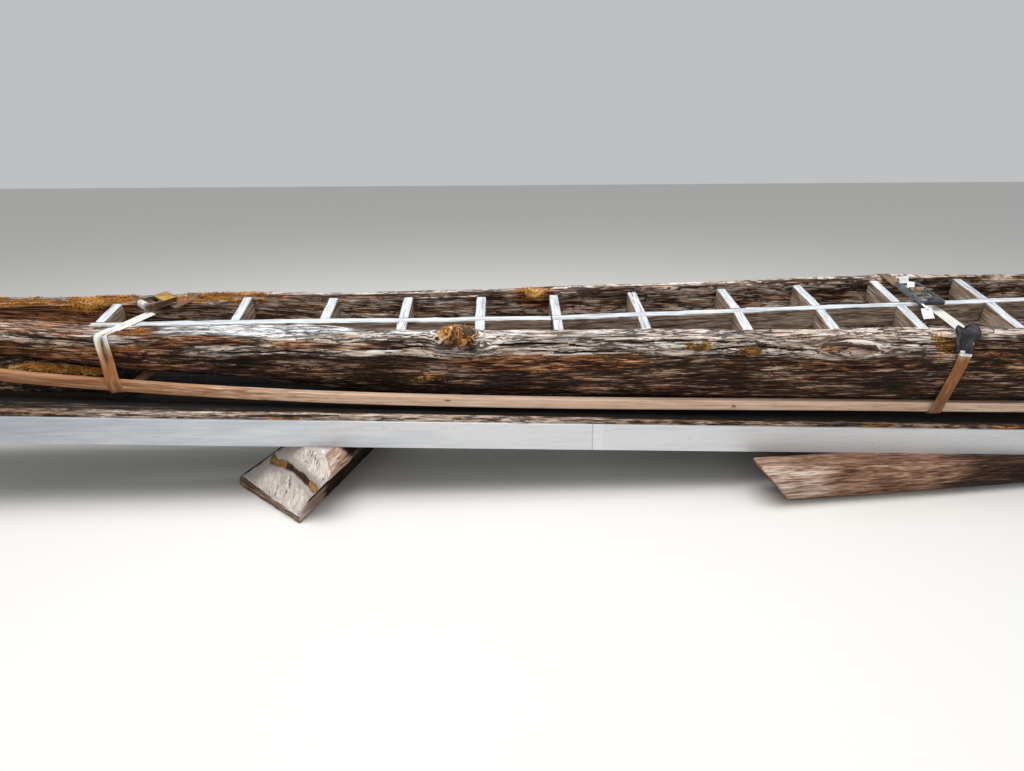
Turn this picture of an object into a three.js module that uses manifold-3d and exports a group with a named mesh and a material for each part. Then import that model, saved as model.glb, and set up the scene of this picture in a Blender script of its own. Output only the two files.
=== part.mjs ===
// A dugout canoe strapped on its cradle.
// Millimetres, +Z up, +X toward the stern, +Y away from the side that carries the batten in front.
// The canoe is one carved log. A grid of boards keeps its sides apart, and two webbing straps hold
// it, with a batten along each side, on a planked aluminium stage that lies on logs.
import * as THREE from 'three';
import { mergeVertices } from 'three/addons/utils/BufferGeometryUtils.js';
import Module from 'manifold-3d';

const wasm = await Module();
wasm.setup();

const RAD = Math.PI / 180;
const GAP = 0.3;          // left between two pieces that touch

// The stage: two channel rails, rungs between them and planks on top. It falls toward the stern.
const STAGE = { length: 6096, width: 610, height: 101.6, flange: 38, wall: 4, fall: 2.04, underside: 174.6 };
const RUNG = { count: 7, pitch: 950, width: 50, height: 25, wall: 3, drop: 45 };
const PLANK = { thick: 14, gap: 6, inset: 9, length: 6040, edges: [0, 182, 392, 592], wander: 3 };
const DECK_TOP = STAGE.height + PLANK.thick + 2 * GAP;

// The hull's own frame: x along the log, z = 0 at the gunwales. It is rolled toward the near side.
const BOAT = { y: 342.4, z: 652, heading: -1.88, rise: 0.36, roll: 13 };
const HULL = { bow: -3060, stern: 3060, steps: 44, roundness: 2.7, swellAt: 0.3, crown: 14 };

// Outer lines: half widths of the gunwale on the near and far side, how far the log swells past them,
// its depth below the gunwale and how far the gunwale rises above the straight line.
const OUTER = [
  // x, near, far, swell, depth, sheer
  [-3060, 48, 52, 4, 62, 34],
  [-2960, 92, 96, 8, 92, 30],
  [-2700, 128, 132, 12, 118, 20],
  [-2250, 150, 168, 14, 147, 8],
  [-1900, 196, 196, 16, 180, 0],
  [-1400, 212, 212, 20, 228, 0],
  [-900, 232, 206, 28, 300, 0],
  [-350, 246, 212, 38, 335, 0],
  [200, 254, 242, 45, 350, 0],
  [800, 277, 278, 40, 358, 0],
  [1500, 288, 306, 36, 366, 0],
  [2100, 288, 300, 34, 368, 0],
  [2600, 262, 268, 30, 352, 4],
  [2900, 208, 212, 22, 308, 12],
  [3060, 130, 134, 14, 236, 20],
];

// The hollow: half widths of its mouth and its depth.
const HOLLOW = [
  // x, near, far, swell, depth, sheer
  [-2720, 6, 8, 0, 8, 20],
  [-2500, 24, 40, 1, 44, 12],
  [-2250, 44, 78, 2, 84, 6],
  [-1900, 96, 98, 3, 112, 0],
  [-1400, 105, 121, 5, 158, 0],
  [-1050, 116, 118, 8, 205, 0],
  [-850, 162, 116, 12, 236, 0],
  [-350, 177, 142, 18, 256, 0],
  [200, 188, 178, 26, 270, 0],
  [800, 213, 214, 26, 276, 0],
  [1500, 225, 244, 24, 284, 0],
  [2100, 222, 236, 22, 284, 0],
  [2500, 178, 186, 16, 262, 0],
  [2740, 98, 104, 8, 190, 0],
  [2840, 26, 28, 2, 70, 0],
];
const MOUTH = { above: 80, steps: 40 };

// Growths and hollows of the log: centre in the hull's frame and half sizes.
const BURLS = [
  // x, y, z, along, across, up
  [-508, -232, -18, 92, 44, 62],
  [1000, -304, -62, 125, 20, 58],
];
const KNOT_HOLE = { x: -130, y: 176, z: 6, along: 46, across: 34, up: 30 };
const CHOPPED_FLAT = { x: -1240, y: -240, z: 30, along: 400, across: 125, up: 42 };

// Boards on edge across the hull.
const BOARD = { thick: 38, deep: 89, drop: 1, bite: 4 };
const SPINE = [
  // from, to, y at from, y at to
  [-1960, -149, -86, -84],
  [-148, 2690, -84, 88],
];
const CROSSPIECES = [
  // x, 1 if it has a near half, 1 if it has a far half, lift of the far end, drop of the near end
  [-1927, 0, 1, 4, 0],
  [-1396, 0, 1, 16, 0],
  [-1043, 0, 1, 6, 0],
  [-732, 1, 1, 5, 4],
  [-429, 1, 1, -8, 4],
  [-125, 1, 1, -9, 5],
  [210, 1, 1, -11, 6],
  [597, 1, 1, -10, 8],
  [930, 1, 1, -8, 9],
  [1266, 1, 1, 3, 10],
  [1637, 1, 1, 2, 10],
  [2010, 1, 1, 0, 6],
  [2380, 1, 1, 0, 6],
];

// Battens: square lengths of clean timber bent along the bilge on each side.
const BATTEN = { size: 38, steps: 24 };
const NEAR_BATTEN = [
  // x, height of its foot above the rails' tops, y of its outer face
  [-2900, 120, 250],
  [-2180, 74, 172],
  [-1780, 57, 138],
  [-1420, 45, 116],
  [-1060, 38, 98],
  [-700, 35, 86],
  [-300, 34, 79],
  [100, 36, 75],
  [900, 43, 74],
  [1700, 47, 76],
  [2400, 50, 92],
  [2880, 54, 122],
];
// The far batten lies against the log at this place of its outline, in unit size.
const FAR_BATTEN = { from: -2560, to: 2720, across: 0.97, up: -0.62, proud: 34 };

// Straps: closed bands round hull and battens. Each lean row gives an angle round the band, counted
// from the far side over the top, and how far along the hull the band has wandered there.
const WEBBING = { wide: 50, thick: 3 };
const PAD = { wide: 104, thick: 4, inner: 60, outer: 58, depth: 78 };
const STRAPS = [
  {
    name: 'left', x: -1800, under: GAP,
    lean: [[46, 165], [138, -77], [161, -66], [182, -54], [219, 24], [270, 62], [360, 132]],
  },
  {
    name: 'right', x: 1400, under: PAD.thick + 2 * GAP,
    lean: [[43, -56], [100, -44], [144, -26], [166, -28], [186, -42], [214, -64], [270, -60], [360, -56]],
  },
];
// Ratchets lie on the band: place in the hull's frame, turn from straight across and handle angle.
const RATCHETS = [
  // name, x, y, turn, handle angle from lying toward the near side, length of its arms
  ['left', -1788, 34, -42, 179, 112],
  ['right', 1356, 62, 0, 4, 138],
];
const RATCHET = {
  plate: 3, inside: 76, back: 96, front: 14, low: 3, high: 34, axleHeight: 18.3, axle: 8, anchor: 6,
  roll: 18, armDeep: 18, grip: 10,
};

// Chocks stand on the deck and are cut to the hull's bottom.
const CHOCKS = [
  // x, thickness along the hull, near edge, far edge, height before the cut
  [560, 38, 190, 520, 95],
  [2150, 38, 170, 500, 130],
];
const BOW_LOG = { from: -2880, to: -1890, y: 398, half: 150, high: 142, steps: 14 };

// Log blocks on the ground under the rails. Their tops are hewn flat against the rails.
const LEFT_BLOCK = { x: -1081, y: -198, heading: 76, length: 1000, before: 120, farEnd: 650 };
// Its section: how far each point lies to the left of the near corner, and its height.
const LEFT_SECTION = [
  [0, 0], [388, 0], [374, 36], [332, 68], [276, 110], [232, 146], [186, 180], [120, 214],
  [50, 232], [-20, 226], [-76, 203], [-104, 174], [-100, 152], [-84, 136], [-50, 102], [-22, 70], [-4, 36],
];
const LEFT_CUTS = [
  // outward normal of each cut at the near end, and the height where it passes the near corner
  [[-0.73, -0.68, 0], 0],
  [[-0.573, -0.585, 0.574], 26],
];
const RIGHT_BLOCKS = [
  // name, x, y, heading, length, radius
  ['block_right_near', 560, -98, 5.9, 1320, 84],
  ['block_right_far', 760, 566, -2, 980, 84],
];
const UNDERCUTS = [
  // x and height of a point on each cut at the near log's end, and the cut's outward normal
  [586, 152, [-0.99, 0, -0.14]],
  [684, 33, [-0.74, 0, -0.672]],
];

const WOOD = {
  hull: '#6f5747',
  board: '#b9b6ae',
  batten: '#b08a67',
  deck: '#6a5a48',
  bark: '#5a4634',
  block: '#a38f7c',
  dark: '#6d4e3a',
};

function material(color, roughness, metalness = 0) {
  return new THREE.MeshStandardMaterial({ color, roughness, metalness });
}

function weld(geometry) {
  const bare = geometry.index ? geometry.toNonIndexed() : geometry.clone();
  bare.deleteAttribute('normal');
  bare.deleteAttribute('uv');
  return mergeVertices(bare, 1e-3);
}

function solid(geometry) {
  const welded = weld(geometry);
  const vertProperties = new Float32Array(welded.attributes.position.array);
  const triVerts = new Uint32Array(welded.index.array);
  return new wasm.Manifold(new wasm.Mesh({ numProp: 3, vertProperties, triVerts }));
}

function geometryOf(manifold) {
  const mesh = manifold.getMesh();
  const points = new Float32Array(mesh.numVert * 3);
  for (let i = 0; i < mesh.numVert; i += 1) {
    for (let axis = 0; axis < 3; axis += 1) {
      points[i * 3 + axis] = mesh.vertProperties[i * mesh.numProp + axis];
    }
  }
  const geometry = new THREE.BufferGeometry();
  geometry.setAttribute('position', new THREE.BufferAttribute(points, 3));
  geometry.setIndex(new THREE.BufferAttribute(new Uint32Array(mesh.triVerts), 1));
  geometry.computeVertexNormals();
  return geometry;
}

// The biggest of the bodies that a cut leaves; the others are slivers.
function biggest(manifold) {
  return manifold.decompose().reduce((a, b) => (b.volume() > a.volume() ? b : a));
}

function node(name, geometry, finish) {
  const mesh = new THREE.Mesh(geometry, finish);
  mesh.name = name;
  return mesh;
}

// Catmull-Rom through one column of a table whose first column is x.
function along(table, column, x) {
  const last = table.length - 1;
  let i = 0;
  while (i < last - 1 && table[i + 1][0] < x) i += 1;
  const [a, b] = [table[i], table[i + 1]];
  const before = table[Math.max(i - 1, 0)];
  const after = table[Math.min(i + 2, last)];
  const t = THREE.MathUtils.clamp((x - a[0]) / (b[0] - a[0]), 0, 1);
  const span = b[0] - a[0];
  const slopeIn = i === 0 ? 0 : (b[column] - before[column]) / (b[0] - before[0]);
  const slopeOut = i + 2 > last ? 0 : (after[column] - a[column]) / (after[0] - a[0]);
  const [t2, t3] = [t * t, t * t * t];
  return (2 * t3 - 3 * t2 + 1) * a[column] + (t3 - 2 * t2 + t) * slopeIn * span
    + (3 * t2 - 2 * t3) * b[column] + (t3 - t2) * slopeOut * span;
}

// A closed outline pulled along +x from 0 to 1 in equal steps, in unit size.
function pulled(points, steps, holes = []) {
  const shape = new THREE.Shape(points.map(([y, z]) => new THREE.Vector2(y, z)));
  holes.forEach((hole) => shape.holes.push(new THREE.Path(hole.map(([y, z]) => new THREE.Vector2(y, z)))));
  const geometry = new THREE.ExtrudeGeometry(shape, { depth: 1, steps, bevelEnabled: false });
  const toX = new THREE.Matrix4().set(0, 0, 1, 0, 1, 0, 0, 0, 0, 1, 0, 0, 0, 0, 0, 1);
  return geometry.applyMatrix4(toX);
}

function reshape(geometry, move) {
  const at = geometry.attributes.position;
  for (let i = 0; i < at.count; i += 1) {
    const p = move(at.getX(i), at.getY(i), at.getZ(i));
    at.setXYZ(i, p[0], p[1], p[2]);
  }
  return geometry;
}

// Half of a log's section in unit size: a full round below, leaning in to the gunwale above.
function logOutline(below, beside, top) {
  const points = [];
  for (let i = 0; i <= below; i += 1) {
    const angle = Math.PI * (i / below);
    const c = Math.cos(angle);
    const s = Math.sin(angle);
    const y = -Math.sign(c) * Math.abs(c) ** (2 / HULL.roundness);
    points.push([y, -HULL.swellAt - (1 - HULL.swellAt) * s ** (2 / HULL.roundness)]);
  }
  for (let i = 1; i <= beside; i += 1) points.push([1, -HULL.swellAt * (1 - i / beside)]);
  for (let i = 1; i < top; i += 1) points.push([1 - 2 * (i / top), 0]);
  for (let i = 0; i < beside; i += 1) points.push([-1, -HULL.swellAt * (i / beside)]);
  return points;
}

// Gives the unit log its real lines. Above the widest level the sides lean in to the gunwale.
function toLines(table, x, y, z) {
  const half = along(table, y < 0 ? 1 : 2, x);
  const swell = along(table, 3, x);
  const climb = THREE.MathUtils.clamp((z + HULL.swellAt) / HULL.swellAt, 0, 1);
  const lean = swell * Math.cos(climb * Math.PI / 2) ** 0.8;
  return [x, y * (half + lean), z * along(table, 4, x) + along(table, 5, x)];
}

function bump([x, y, z, sizeX, sizeY, sizeZ], sides = 12) {
  const ball = new THREE.SphereGeometry(1, sides, sides * 2 / 3).rotateX(Math.PI / 2);
  return solid(ball.scale(sizeX, sizeY, sizeZ).translate(x, y, z));
}

function outerLog() {
  const outline = logOutline(16, 3, 6);
  return reshape(pulled(outline, HULL.steps), (s, y, z) => {
    const x = THREE.MathUtils.lerp(HULL.bow, HULL.stern, s);
    const p = toLines(OUTER, x, y, z);
    const end = THREE.MathUtils.smoothstep(Math.abs(x), 2500, 2900);
    if (z === 0) p[2] += end * HULL.crown * (1 - y * y);
    return p;
  });
}

function hollow() {
  const outline = logOutline(14, 2, 2).filter(([, z]) => z < 0);
  outline.push([1, 0], [1, 1], [-1, 1], [-1, 0]);
  const [from, to] = [HOLLOW[0][0], HOLLOW[HOLLOW.length - 1][0]];
  const ordered = outline.sort((p, q) => turn(p) - turn(q));
  return reshape(pulled(ordered, MOUTH.steps), (s, y, z) => {
    const x = THREE.MathUtils.lerp(from, to, s);
    const p = toLines(HOLLOW, x, y, Math.min(z, 0));
    if (z > 0) p[2] += MOUTH.above;
    return p;
  });
}

// Angle round the middle of the unit outline, counted from straight up on the near side.
function turn([y, z]) {
  return Math.atan2(y, -(z + 0.4));
}

function carveHull() {
  let log = solid(outerLog());
  BURLS.forEach((row) => { log = log.add(bump(row)); });
  const hole = KNOT_HOLE;
  log = log.subtract(bump([hole.x, hole.y, hole.z, hole.along, hole.across, hole.up]));
  const flat = CHOPPED_FLAT;
  log = log.subtract(bump([flat.x, flat.y, flat.z, flat.along, flat.across, flat.up], 24));
  return log.subtract(solid(hollow()));
}

function spineY(x) {
  const [from, to, y0, y1] = SPINE.find((row) => x <= row[1]) ?? SPINE[SPINE.length - 1];
  return THREE.MathUtils.mapLinear(x, from, to, y0, y1);
}

function spineBoard([from, to, y0, y1]) {
  const board = new THREE.BoxGeometry(to - from, BOARD.thick, BOARD.deep);
  const turned = Math.atan2(y1 - y0, to - from);
  board.rotateZ(turned).translate((from + to) / 2, (y0 + y1) / 2, -BOARD.deep / 2 - BOARD.drop);
  return solid(board);
}

// One half of a crosspiece: it starts in the spine and ends in the wall, and both cut it back.
function halfCrosspiece(hull, spine, x, side, climb) {
  const start = spineY(x) + side * (BOARD.thick / 2 - BOARD.bite);
  const wall = along(HOLLOW, side < 0 ? 1 : 2, x);
  const length = Math.abs(side * wall - start) + BOARD.bite;
  const board = new THREE.BoxGeometry(BOARD.thick, length, BOARD.deep);
  board.translate(0, side * length / 2, -BOARD.deep / 2 - BOARD.drop);
  board.rotateX(side * Math.asin(climb / length)).translate(x, start, 0);
  const cut = solid(board).subtract(hull.translate(0, -side * GAP, GAP));
  return biggest(cut.subtract(spine.translate(0, side * GAP, 0)));
}

// Height of the rails' tops at x.
function stageTop(x) {
  const underside = STAGE.underside - Math.tan(STAGE.fall * RAD) * x;
  return underside + STAGE.height / Math.cos(STAGE.fall * RAD);
}

function onStage(geometry) {
  return geometry.rotateY(STAGE.fall * RAD).translate(0, 0, STAGE.underside);
}

function railGeometry(side) {
  const { flange, wall, height, width, length } = STAGE;
  const section = [[0, 0], [flange, 0], [flange, wall], [wall, wall], [wall, height - wall],
    [flange, height - wall], [flange, height], [0, height]];
  return onStage(reshape(pulled(section, 1), (s, y, z) => [
    side * (0.5 - s) * length, side < 0 ? y : width - y, z,
  ]));
}

function rungGeometry(x) {
  const { width, height, wall, drop } = RUNG;
  const outer = [[0, 0], [width, 0], [width, height], [0, height]];
  const inner = [[wall, wall], [wall, height - wall], [width - wall, height - wall], [width - wall, wall]];
  const [from, to] = [STAGE.wall + GAP, STAGE.width - STAGE.wall - GAP];
  const tube = pulled(outer, 1, [inner]);
  return onStage(reshape(tube, (s, across, up) => [
    x - across + width / 2, THREE.MathUtils.lerp(from, to, s), drop + up,
  ]));
}

function plankGeometry(index) {
  const { thick, gap, inset, length, edges, wander } = PLANK;
  const [near, far] = [edges[index] + inset, edges[index + 1] + inset - gap];
  const steps = 20;
  const outline = [[0, 0], [1, 0], [1, 1], [0, 1]];
  const plank = pulled(outline, steps);
  return onStage(reshape(plank, (s, y, z) => {
    const x = (s - 0.5) * length;
    const edge = wander * (Math.sin(x / 310 + index * 2) * 0.6 + Math.sin(x / 127 + index) * 0.4) * 0.5;
    return [x, (y ? far : near) + (y ? -1 : 1) * (edge + wander / 2), STAGE.height + GAP + z * thick];
  }));
}

// The outer low corner of a batten's section at x, as y and z.
function battenCorner(side, x) {
  if (side < 0) return [along(NEAR_BATTEN, 2, x), stageTop(x) + along(NEAR_BATTEN, 1, x)];
  const p = onLog(x, FAR_BATTEN.across, FAR_BATTEN.up);
  return [p.y + FAR_BATTEN.proud, p.z - BATTEN.size / 2];
}

function onLog(x, y, z) {
  return new THREE.Vector3(...toLines(OUTER, x, y, z)).applyMatrix4(boat.matrixWorld);
}

function battenGeometry(side) {
  const outline = [[0, 0], [1, 0], [1, 1], [0, 1]];
  const from = side < 0 ? NEAR_BATTEN[0][0] : FAR_BATTEN.from;
  const to = side < 0 ? NEAR_BATTEN.at(-1)[0] : FAR_BATTEN.to;
  return reshape(pulled(outline, BATTEN.steps), (s, y, z) => {
    const x = THREE.MathUtils.lerp(from, to, s);
    const [face, foot] = battenCorner(side, x);
    const depth = side < 0 ? y : y - 1;
    return [x, face + depth * BATTEN.size, foot + z * BATTEN.size];
  });
}

// Convex outline round a cloud of points, counterclockwise.
function wrap(points) {
  const sorted = [...points].sort((p, q) => p[0] - q[0] || p[1] - q[1]);
  const half = (list) => {
    const chain = [];
    list.forEach((p) => {
      while (chain.length > 1 && area(chain.at(-2), chain.at(-1), p) <= 1) chain.pop();
      chain.push(p);
    });
    return chain.slice(0, -1);
  };
  return [...half(sorted), ...half(sorted.reverse())];
}

function area(a, b, c) {
  return (b[0] - a[0]) * (c[1] - a[1]) - (b[1] - a[1]) * (c[0] - a[0]);
}

// Moves a convex outline outward by a distance, square to its sides.
function grown(ring, distance) {
  return ring.map((p, i) => {
    const before = ring.at(i - 1);
    const after = ring[(i + 1) % ring.length];
    const a = sideNormal(before, p);
    const b = sideNormal(p, after);
    const stretch = distance / (1 + a.dot(b));
    return [p[0] + (a.x + b.x) * stretch, p[1] + (a.y + b.y) * stretch];
  });
}

function sideNormal(p, q) {
  return new THREE.Vector2(q[1] - p[1], p[0] - q[0]).normalize();
}

// The wrapped section of log and battens under a band. Each point is taken where the leaning band
// really crosses it, at both of the band's edges.
function sectionUnder(strap, wide, middle) {
  const points = [];
  const place = (at) => {
    const [y, z] = at(strap.x);
    const x = strap.x + (middle ? leanAt(strap.lean, y - middle[0], z - middle[1]) : 0);
    points.push(at(x - wide / 2), at(x + wide / 2));
  };
  logOutline(16, 3, 6).forEach(([y, z]) => place((x) => {
    const p = onLog(x, y, z);
    return [p.y, p.z];
  }));
  [-1, 1].forEach((side) => [[0, 0], [0, 1], [1, 0]].forEach(([inward, up]) => place((x) => {
    const [face, foot] = battenCorner(side, x);
    return [face - side * inward * BATTEN.size, foot + up * BATTEN.size];
  })));
  return wrap(points);
}

function middleOf(ring) {
  return [0, 1].map((axis) => {
    const values = ring.map((p) => p[axis]);
    return (Math.min(...values) + Math.max(...values)) / 2;
  });
}

function leanAt(lean, y, z) {
  const angle = (Math.atan2(z, y) / RAD + 360) % 360;
  const rows = [[lean.at(-1)[0] - 360, lean.at(-1)[1]], ...lean, [lean[0][0] + 360, lean[0][1]]];
  const i = rows.findIndex((row) => row[0] >= angle);
  const [a, b] = [rows[i - 1], rows[i]];
  return THREE.MathUtils.mapLinear(angle, a[0], b[0], a[1], b[1]);
}

// A band of some width and thickness round the strap's section, leaning along the hull as it goes.
function band(strap, wide, inner, outer) {
  const middle = middleOf(sectionUnder(strap, WEBBING.wide));
  const ring = sectionUnder(strap, WEBBING.wide, middle);
  const geometry = pulled(grown(ring, outer), 1, [grown(ring, inner).reverse()]);
  return solid(reshape(geometry, (s, y, z) => [
    strap.x + (s - 0.5) * wide + leanAt(strap.lean, y - middle[0], z - middle[1]), y, z,
  ]));
}

function inSite(manifold) {
  return manifold.transform(boat.matrixWorld.elements);
}

// The gunwale's edge pad: a folded sheet of rubber under the right strap.
function edgePad(strap) {
  const { inner, outer, depth, thick, wide } = PAD;
  const gunwale = -along(OUTER, 1, strap.x);
  const box = new THREE.BoxGeometry(wide * 2, inner + outer, depth * 2);
  box.translate(strap.x, gunwale + (inner - outer) / 2, 20 - depth);
  return band(strap, wide, GAP, GAP + thick).intersect(inSite(solid(box)));
}

function cylinderAcross(radius, length, y, z) {
  const bar = new THREE.CylinderGeometry(radius, radius, length, 16);
  return solid(bar.rotateZ(Math.PI / 2).translate(0, y, z));
}

function sidePlates(outline, thick, inside) {
  const plate = pulled(outline, 1);
  const left = solid(reshape(plate.clone(), (s, y, z) => [inside + s * thick, y, z]));
  const right = solid(reshape(plate.clone(), (s, y, z) => [-inside - thick + s * thick, y, z]));
  return left.add(right);
}

// A lever ratchet: frame with its axle, folded-over handle and the webbing wound on the axle.
function ratchetPieces(strap, [name, x, y, turned, open, arm]) {
  const r = RATCHET;
  const half = r.inside / 2;
  const frameSide = [[-r.front, r.low + 6], [-r.front + 6, r.low], [r.back - 6, r.low], [r.back, r.low + 8],
    [r.back - 8, r.high - 8], [r.front, r.high], [-r.front, r.high - 8]];
  const frame = sidePlates(frameSide, r.plate, half)
    .add(cylinderAcross(r.axle, r.inside + r.plate, 0, r.axleHeight))
    .add(cylinderAcross(r.anchor, r.inside + r.plate, r.back - 14, r.axleHeight - 4));
  const armSide = [[-arm, -r.armDeep / 2], [10, -r.armDeep / 2], [14, 0], [10, r.armDeep / 2],
    [-arm, r.armDeep / 2]];
  const handle = sidePlates(armSide, r.plate, half + r.plate + GAP)
    .add(cylinderAcross(r.grip, r.inside + 3 * r.plate, -arm, 0));
  const ring = new THREE.Path().absarc(0, 0, r.axle + GAP, 0, Math.PI * 2, true);
  const round = new THREE.Shape().absarc(0, 0, r.roll, 0, Math.PI * 2, false);
  round.holes.push(ring);
  const pull = { depth: WEBBING.wide, bevelEnabled: false, curveSegments: 8 };
  const roll = new THREE.ExtrudeGeometry(round, pull).translate(0, 0, -WEBBING.wide / 2);
  roll.rotateX(Math.PI / 2).rotateZ(Math.PI / 2).translate(0, 0, r.axleHeight);
  const seat = strap.under + WEBBING.thick + GAP;
  const place = new THREE.Matrix4().makeRotationZ(turned * RAD).setPosition(x, y, seat);
  const swing = new THREE.Matrix4().makeRotationX(-open * RAD).setPosition(0, 0, r.axleHeight);
  return [
    [`ratchet_${name}_frame`, inSite(frame.transform(place.elements))],
    [`ratchet_${name}_handle`, inSite(handle.transform(swing.elements).transform(place.elements))],
    [`ratchet_${name}_webbing`, inSite(solid(roll).transform(place.elements))],
  ];
}

// The band stops under the ratchet, between its axle and its anchor bar.
function ratchetOpening([, x, y, turned]) {
  const box = new THREE.BoxGeometry(WEBBING.wide * 3, RATCHET.back - 24, 24);
  box.translate(0, RATCHET.back / 2 - 6, 0).rotateZ(turned * RAD).translate(x, y, 0);
  return inSite(solid(box));
}

function chockGeometry([x, thick, near, far, high]) {
  const board = new THREE.BoxGeometry(thick, far - near, high);
  return onStage(board.translate(x, (near + far) / 2, DECK_TOP + high / 2));
}

// A split log under the bow, its flat side down on the deck.
function bowLogGeometry() {
  const { from, to, y, half, high, steps } = BOW_LOG;
  const outline = [];
  for (let i = 0; i <= 12; i += 1) {
    const angle = Math.PI * (i / 12);
    outline.push([-Math.cos(angle), Math.sin(angle)]);
  }
  return onStage(reshape(pulled(outline.reverse(), steps), (s, across, up) => {
    const x = THREE.MathUtils.lerp(from, to, s);
    const uneven = 1 + 0.03 * Math.sin(x / 90) + 0.02 * Math.sin(x / 41 + across * 3);
    return [x, y + across * half * uneven, DECK_TOP + up * high * uneven];
  }));
}

// Everything on one side of a plane, as far as it matters.
function halfSpace(normal, x, y, z) {
  const size = 9000;
  const n = new THREE.Vector3(...normal).normalize();
  const turnTo = new THREE.Quaternion().setFromUnitVectors(new THREE.Vector3(0, 0, 1), n);
  const box = new THREE.BoxGeometry(size, size, size).translate(0, 0, size / 2);
  return solid(box.applyQuaternion(turnTo).translate(x, y, z));
}

// Everything above the rails' undersides, so that a log below is hewn flat against them.
function aboveRails() {
  const size = 9000;
  return solid(onStage(new THREE.BoxGeometry(size, size, 900).translate(0, 0, 450 - GAP)));
}

function logAlong(radiusY, radiusZ, length, middle, heading, x, y) {
  const steps = 8;
  const outline = [];
  for (let i = 0; i < 22; i += 1) {
    const angle = (i / 22) * Math.PI * 2;
    outline.push([Math.cos(angle), Math.sin(angle)]);
  }
  const geometry = reshape(pulled(outline, steps), (s, across, up) => {
    const uneven = 1 + 0.02 * Math.sin(s * 9 + across * 4) + 0.015 * Math.sin(s * 17 + up * 5);
    return [s * length, across * radiusY * uneven, middle + up * radiusZ * uneven];
  });
  return solid(geometry.rotateZ(heading * RAD).translate(x, y, 0));
}

function leftBlock() {
  const { x, y, heading, length, before, farEnd } = LEFT_BLOCK;
  const log = reshape(pulled(LEFT_SECTION, 10), (s, across, up) => {
    const uneven = 1 + 0.015 * Math.sin(s * 19 + across / 60);
    return [s * length - before, across * uneven, up * (up > 0 ? uneven : 1)];
  });
  let block = solid(log.rotateZ(heading * RAD).translate(x, y, 0));
  block = block.subtract(aboveRails()).subtract(halfSpace([0, 1, 0], 0, farEnd, 0));
  LEFT_CUTS.forEach(([normal, height]) => { block = block.subtract(halfSpace(normal, x, y, height)); });
  return block;
}

function rightBlock([, x, y, heading, length, radius]) {
  let block = logAlong(radius, radius, length, radius - 4, heading, x, y);
  block = block.subtract(halfSpace([0, 0, -1], 0, 0, 0)).subtract(aboveRails());
  UNDERCUTS.forEach(([cutX, cutZ, normal]) => { block = block.subtract(halfSpace(normal, cutX, 0, cutZ)); });
  return block;
}

const canoe = new THREE.Group();
const boat = new THREE.Group();
boat.rotation.set(BOAT.roll * RAD, -BOAT.rise * RAD, BOAT.heading * RAD, 'ZYX');
boat.position.set(0, BOAT.y, BOAT.z);
boat.updateMatrixWorld(true);
canoe.add(boat);

const hull = carveHull();
boat.add(node('hull', geometryOf(hull), material(WOOD.hull, 0.92)));
const grey = material(WOOD.board, 0.85);
const spines = SPINE.map((row) => spineBoard(row).subtract(hull.translate(0, GAP, GAP)));
const spine = spines[0].add(spines[1]);
spines.forEach((board, i) => boat.add(node(`spine_${i + 1}`, geometryOf(board), grey.clone())));
CROSSPIECES.forEach(([x, near, far, lift, drop], i) => {
  const number = String(i + 1).padStart(2, '0');
  const halves = [['far', far, 1, lift], ['near', near, -1, -drop]].filter(([, present]) => present);
  halves.forEach(([name, , side, climb]) => {
    const board = halfCrosspiece(hull, spine, x, side, climb);
    boat.add(node(`crosspiece_${name}_${number}`, geometryOf(board), grey.clone()));
  });
});

const aluminium = material('#b9bec2', 0.45, 0.9);
canoe.add(node('rail_near', railGeometry(-1), aluminium.clone()));
canoe.add(node('rail_far', railGeometry(1), aluminium.clone()));
for (let i = 0; i < RUNG.count; i += 1) {
  const x = (i - (RUNG.count - 1) / 2) * RUNG.pitch;
  canoe.add(node(`rung_${i + 1}`, rungGeometry(x), aluminium.clone()));
}
for (let i = 0; i < PLANK.edges.length - 1; i += 1) {
  canoe.add(node(`deck_plank_${i + 1}`, plankGeometry(i), material(WOOD.deck, 0.95)));
}
const hullHere = inSite(hull);
[['near', -1], ['far', 1]].forEach(([name, side]) => {
  const batten = solid(battenGeometry(side)).subtract(hullHere.translate(0, side * GAP, 0));
  canoe.add(node(`batten_${name}`, geometryOf(batten), material(WOOD.batten, 0.7)));
});
CHOCKS.forEach((row, i) => {
  const chock = solid(chockGeometry(row)).subtract(hullHere.translate(0, 0, -GAP));
  canoe.add(node(`chock_${i + 1}`, geometryOf(chock), grey.clone()));
});
const bowLog = solid(bowLogGeometry()).subtract(hullHere.translate(0, 0, -GAP));
canoe.add(node('bow_log', geometryOf(bowLog), material(WOOD.bark, 0.95)));

STRAPS.forEach((strap, i) => {
  const whole = band(strap, WEBBING.wide, strap.under, strap.under + WEBBING.thick);
  const webbing = whole.subtract(ratchetOpening(RATCHETS[i]));
  canoe.add(node(`strap_${strap.name}`, geometryOf(webbing), material('#b09a78', 0.9)));
  ratchetPieces(strap, RATCHETS[i]).forEach(([name, piece]) => {
    const fitted = biggest(piece.subtract(whole).subtract(whole.translate(0, 0, GAP)));
    canoe.add(node(name, geometryOf(fitted), material('#8a8c8e', 0.4, 0.9)));
  });
});
const pad = biggest(edgePad(STRAPS[1]).subtract(hullHere.translate(0, -GAP, GAP)));
canoe.add(node('edge_pad', geometryOf(pad), material('#2c2d30', 0.8)));

canoe.add(node('block_left', geometryOf(leftBlock()), material(WOOD.block, 0.9)));
RIGHT_BLOCKS.forEach((row) => {
  canoe.add(node(row[0], geometryOf(rightBlock(row)), material(WOOD.dark, 0.9)));
});

// The origin is on the ground under the middle of the whole thing.
const extent = new THREE.Box3().setFromObject(canoe, true);
const middle = extent.getCenter(new THREE.Vector3());
canoe.position.set(-middle.x, -middle.y, -extent.min.z);

export default canoe;
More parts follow.
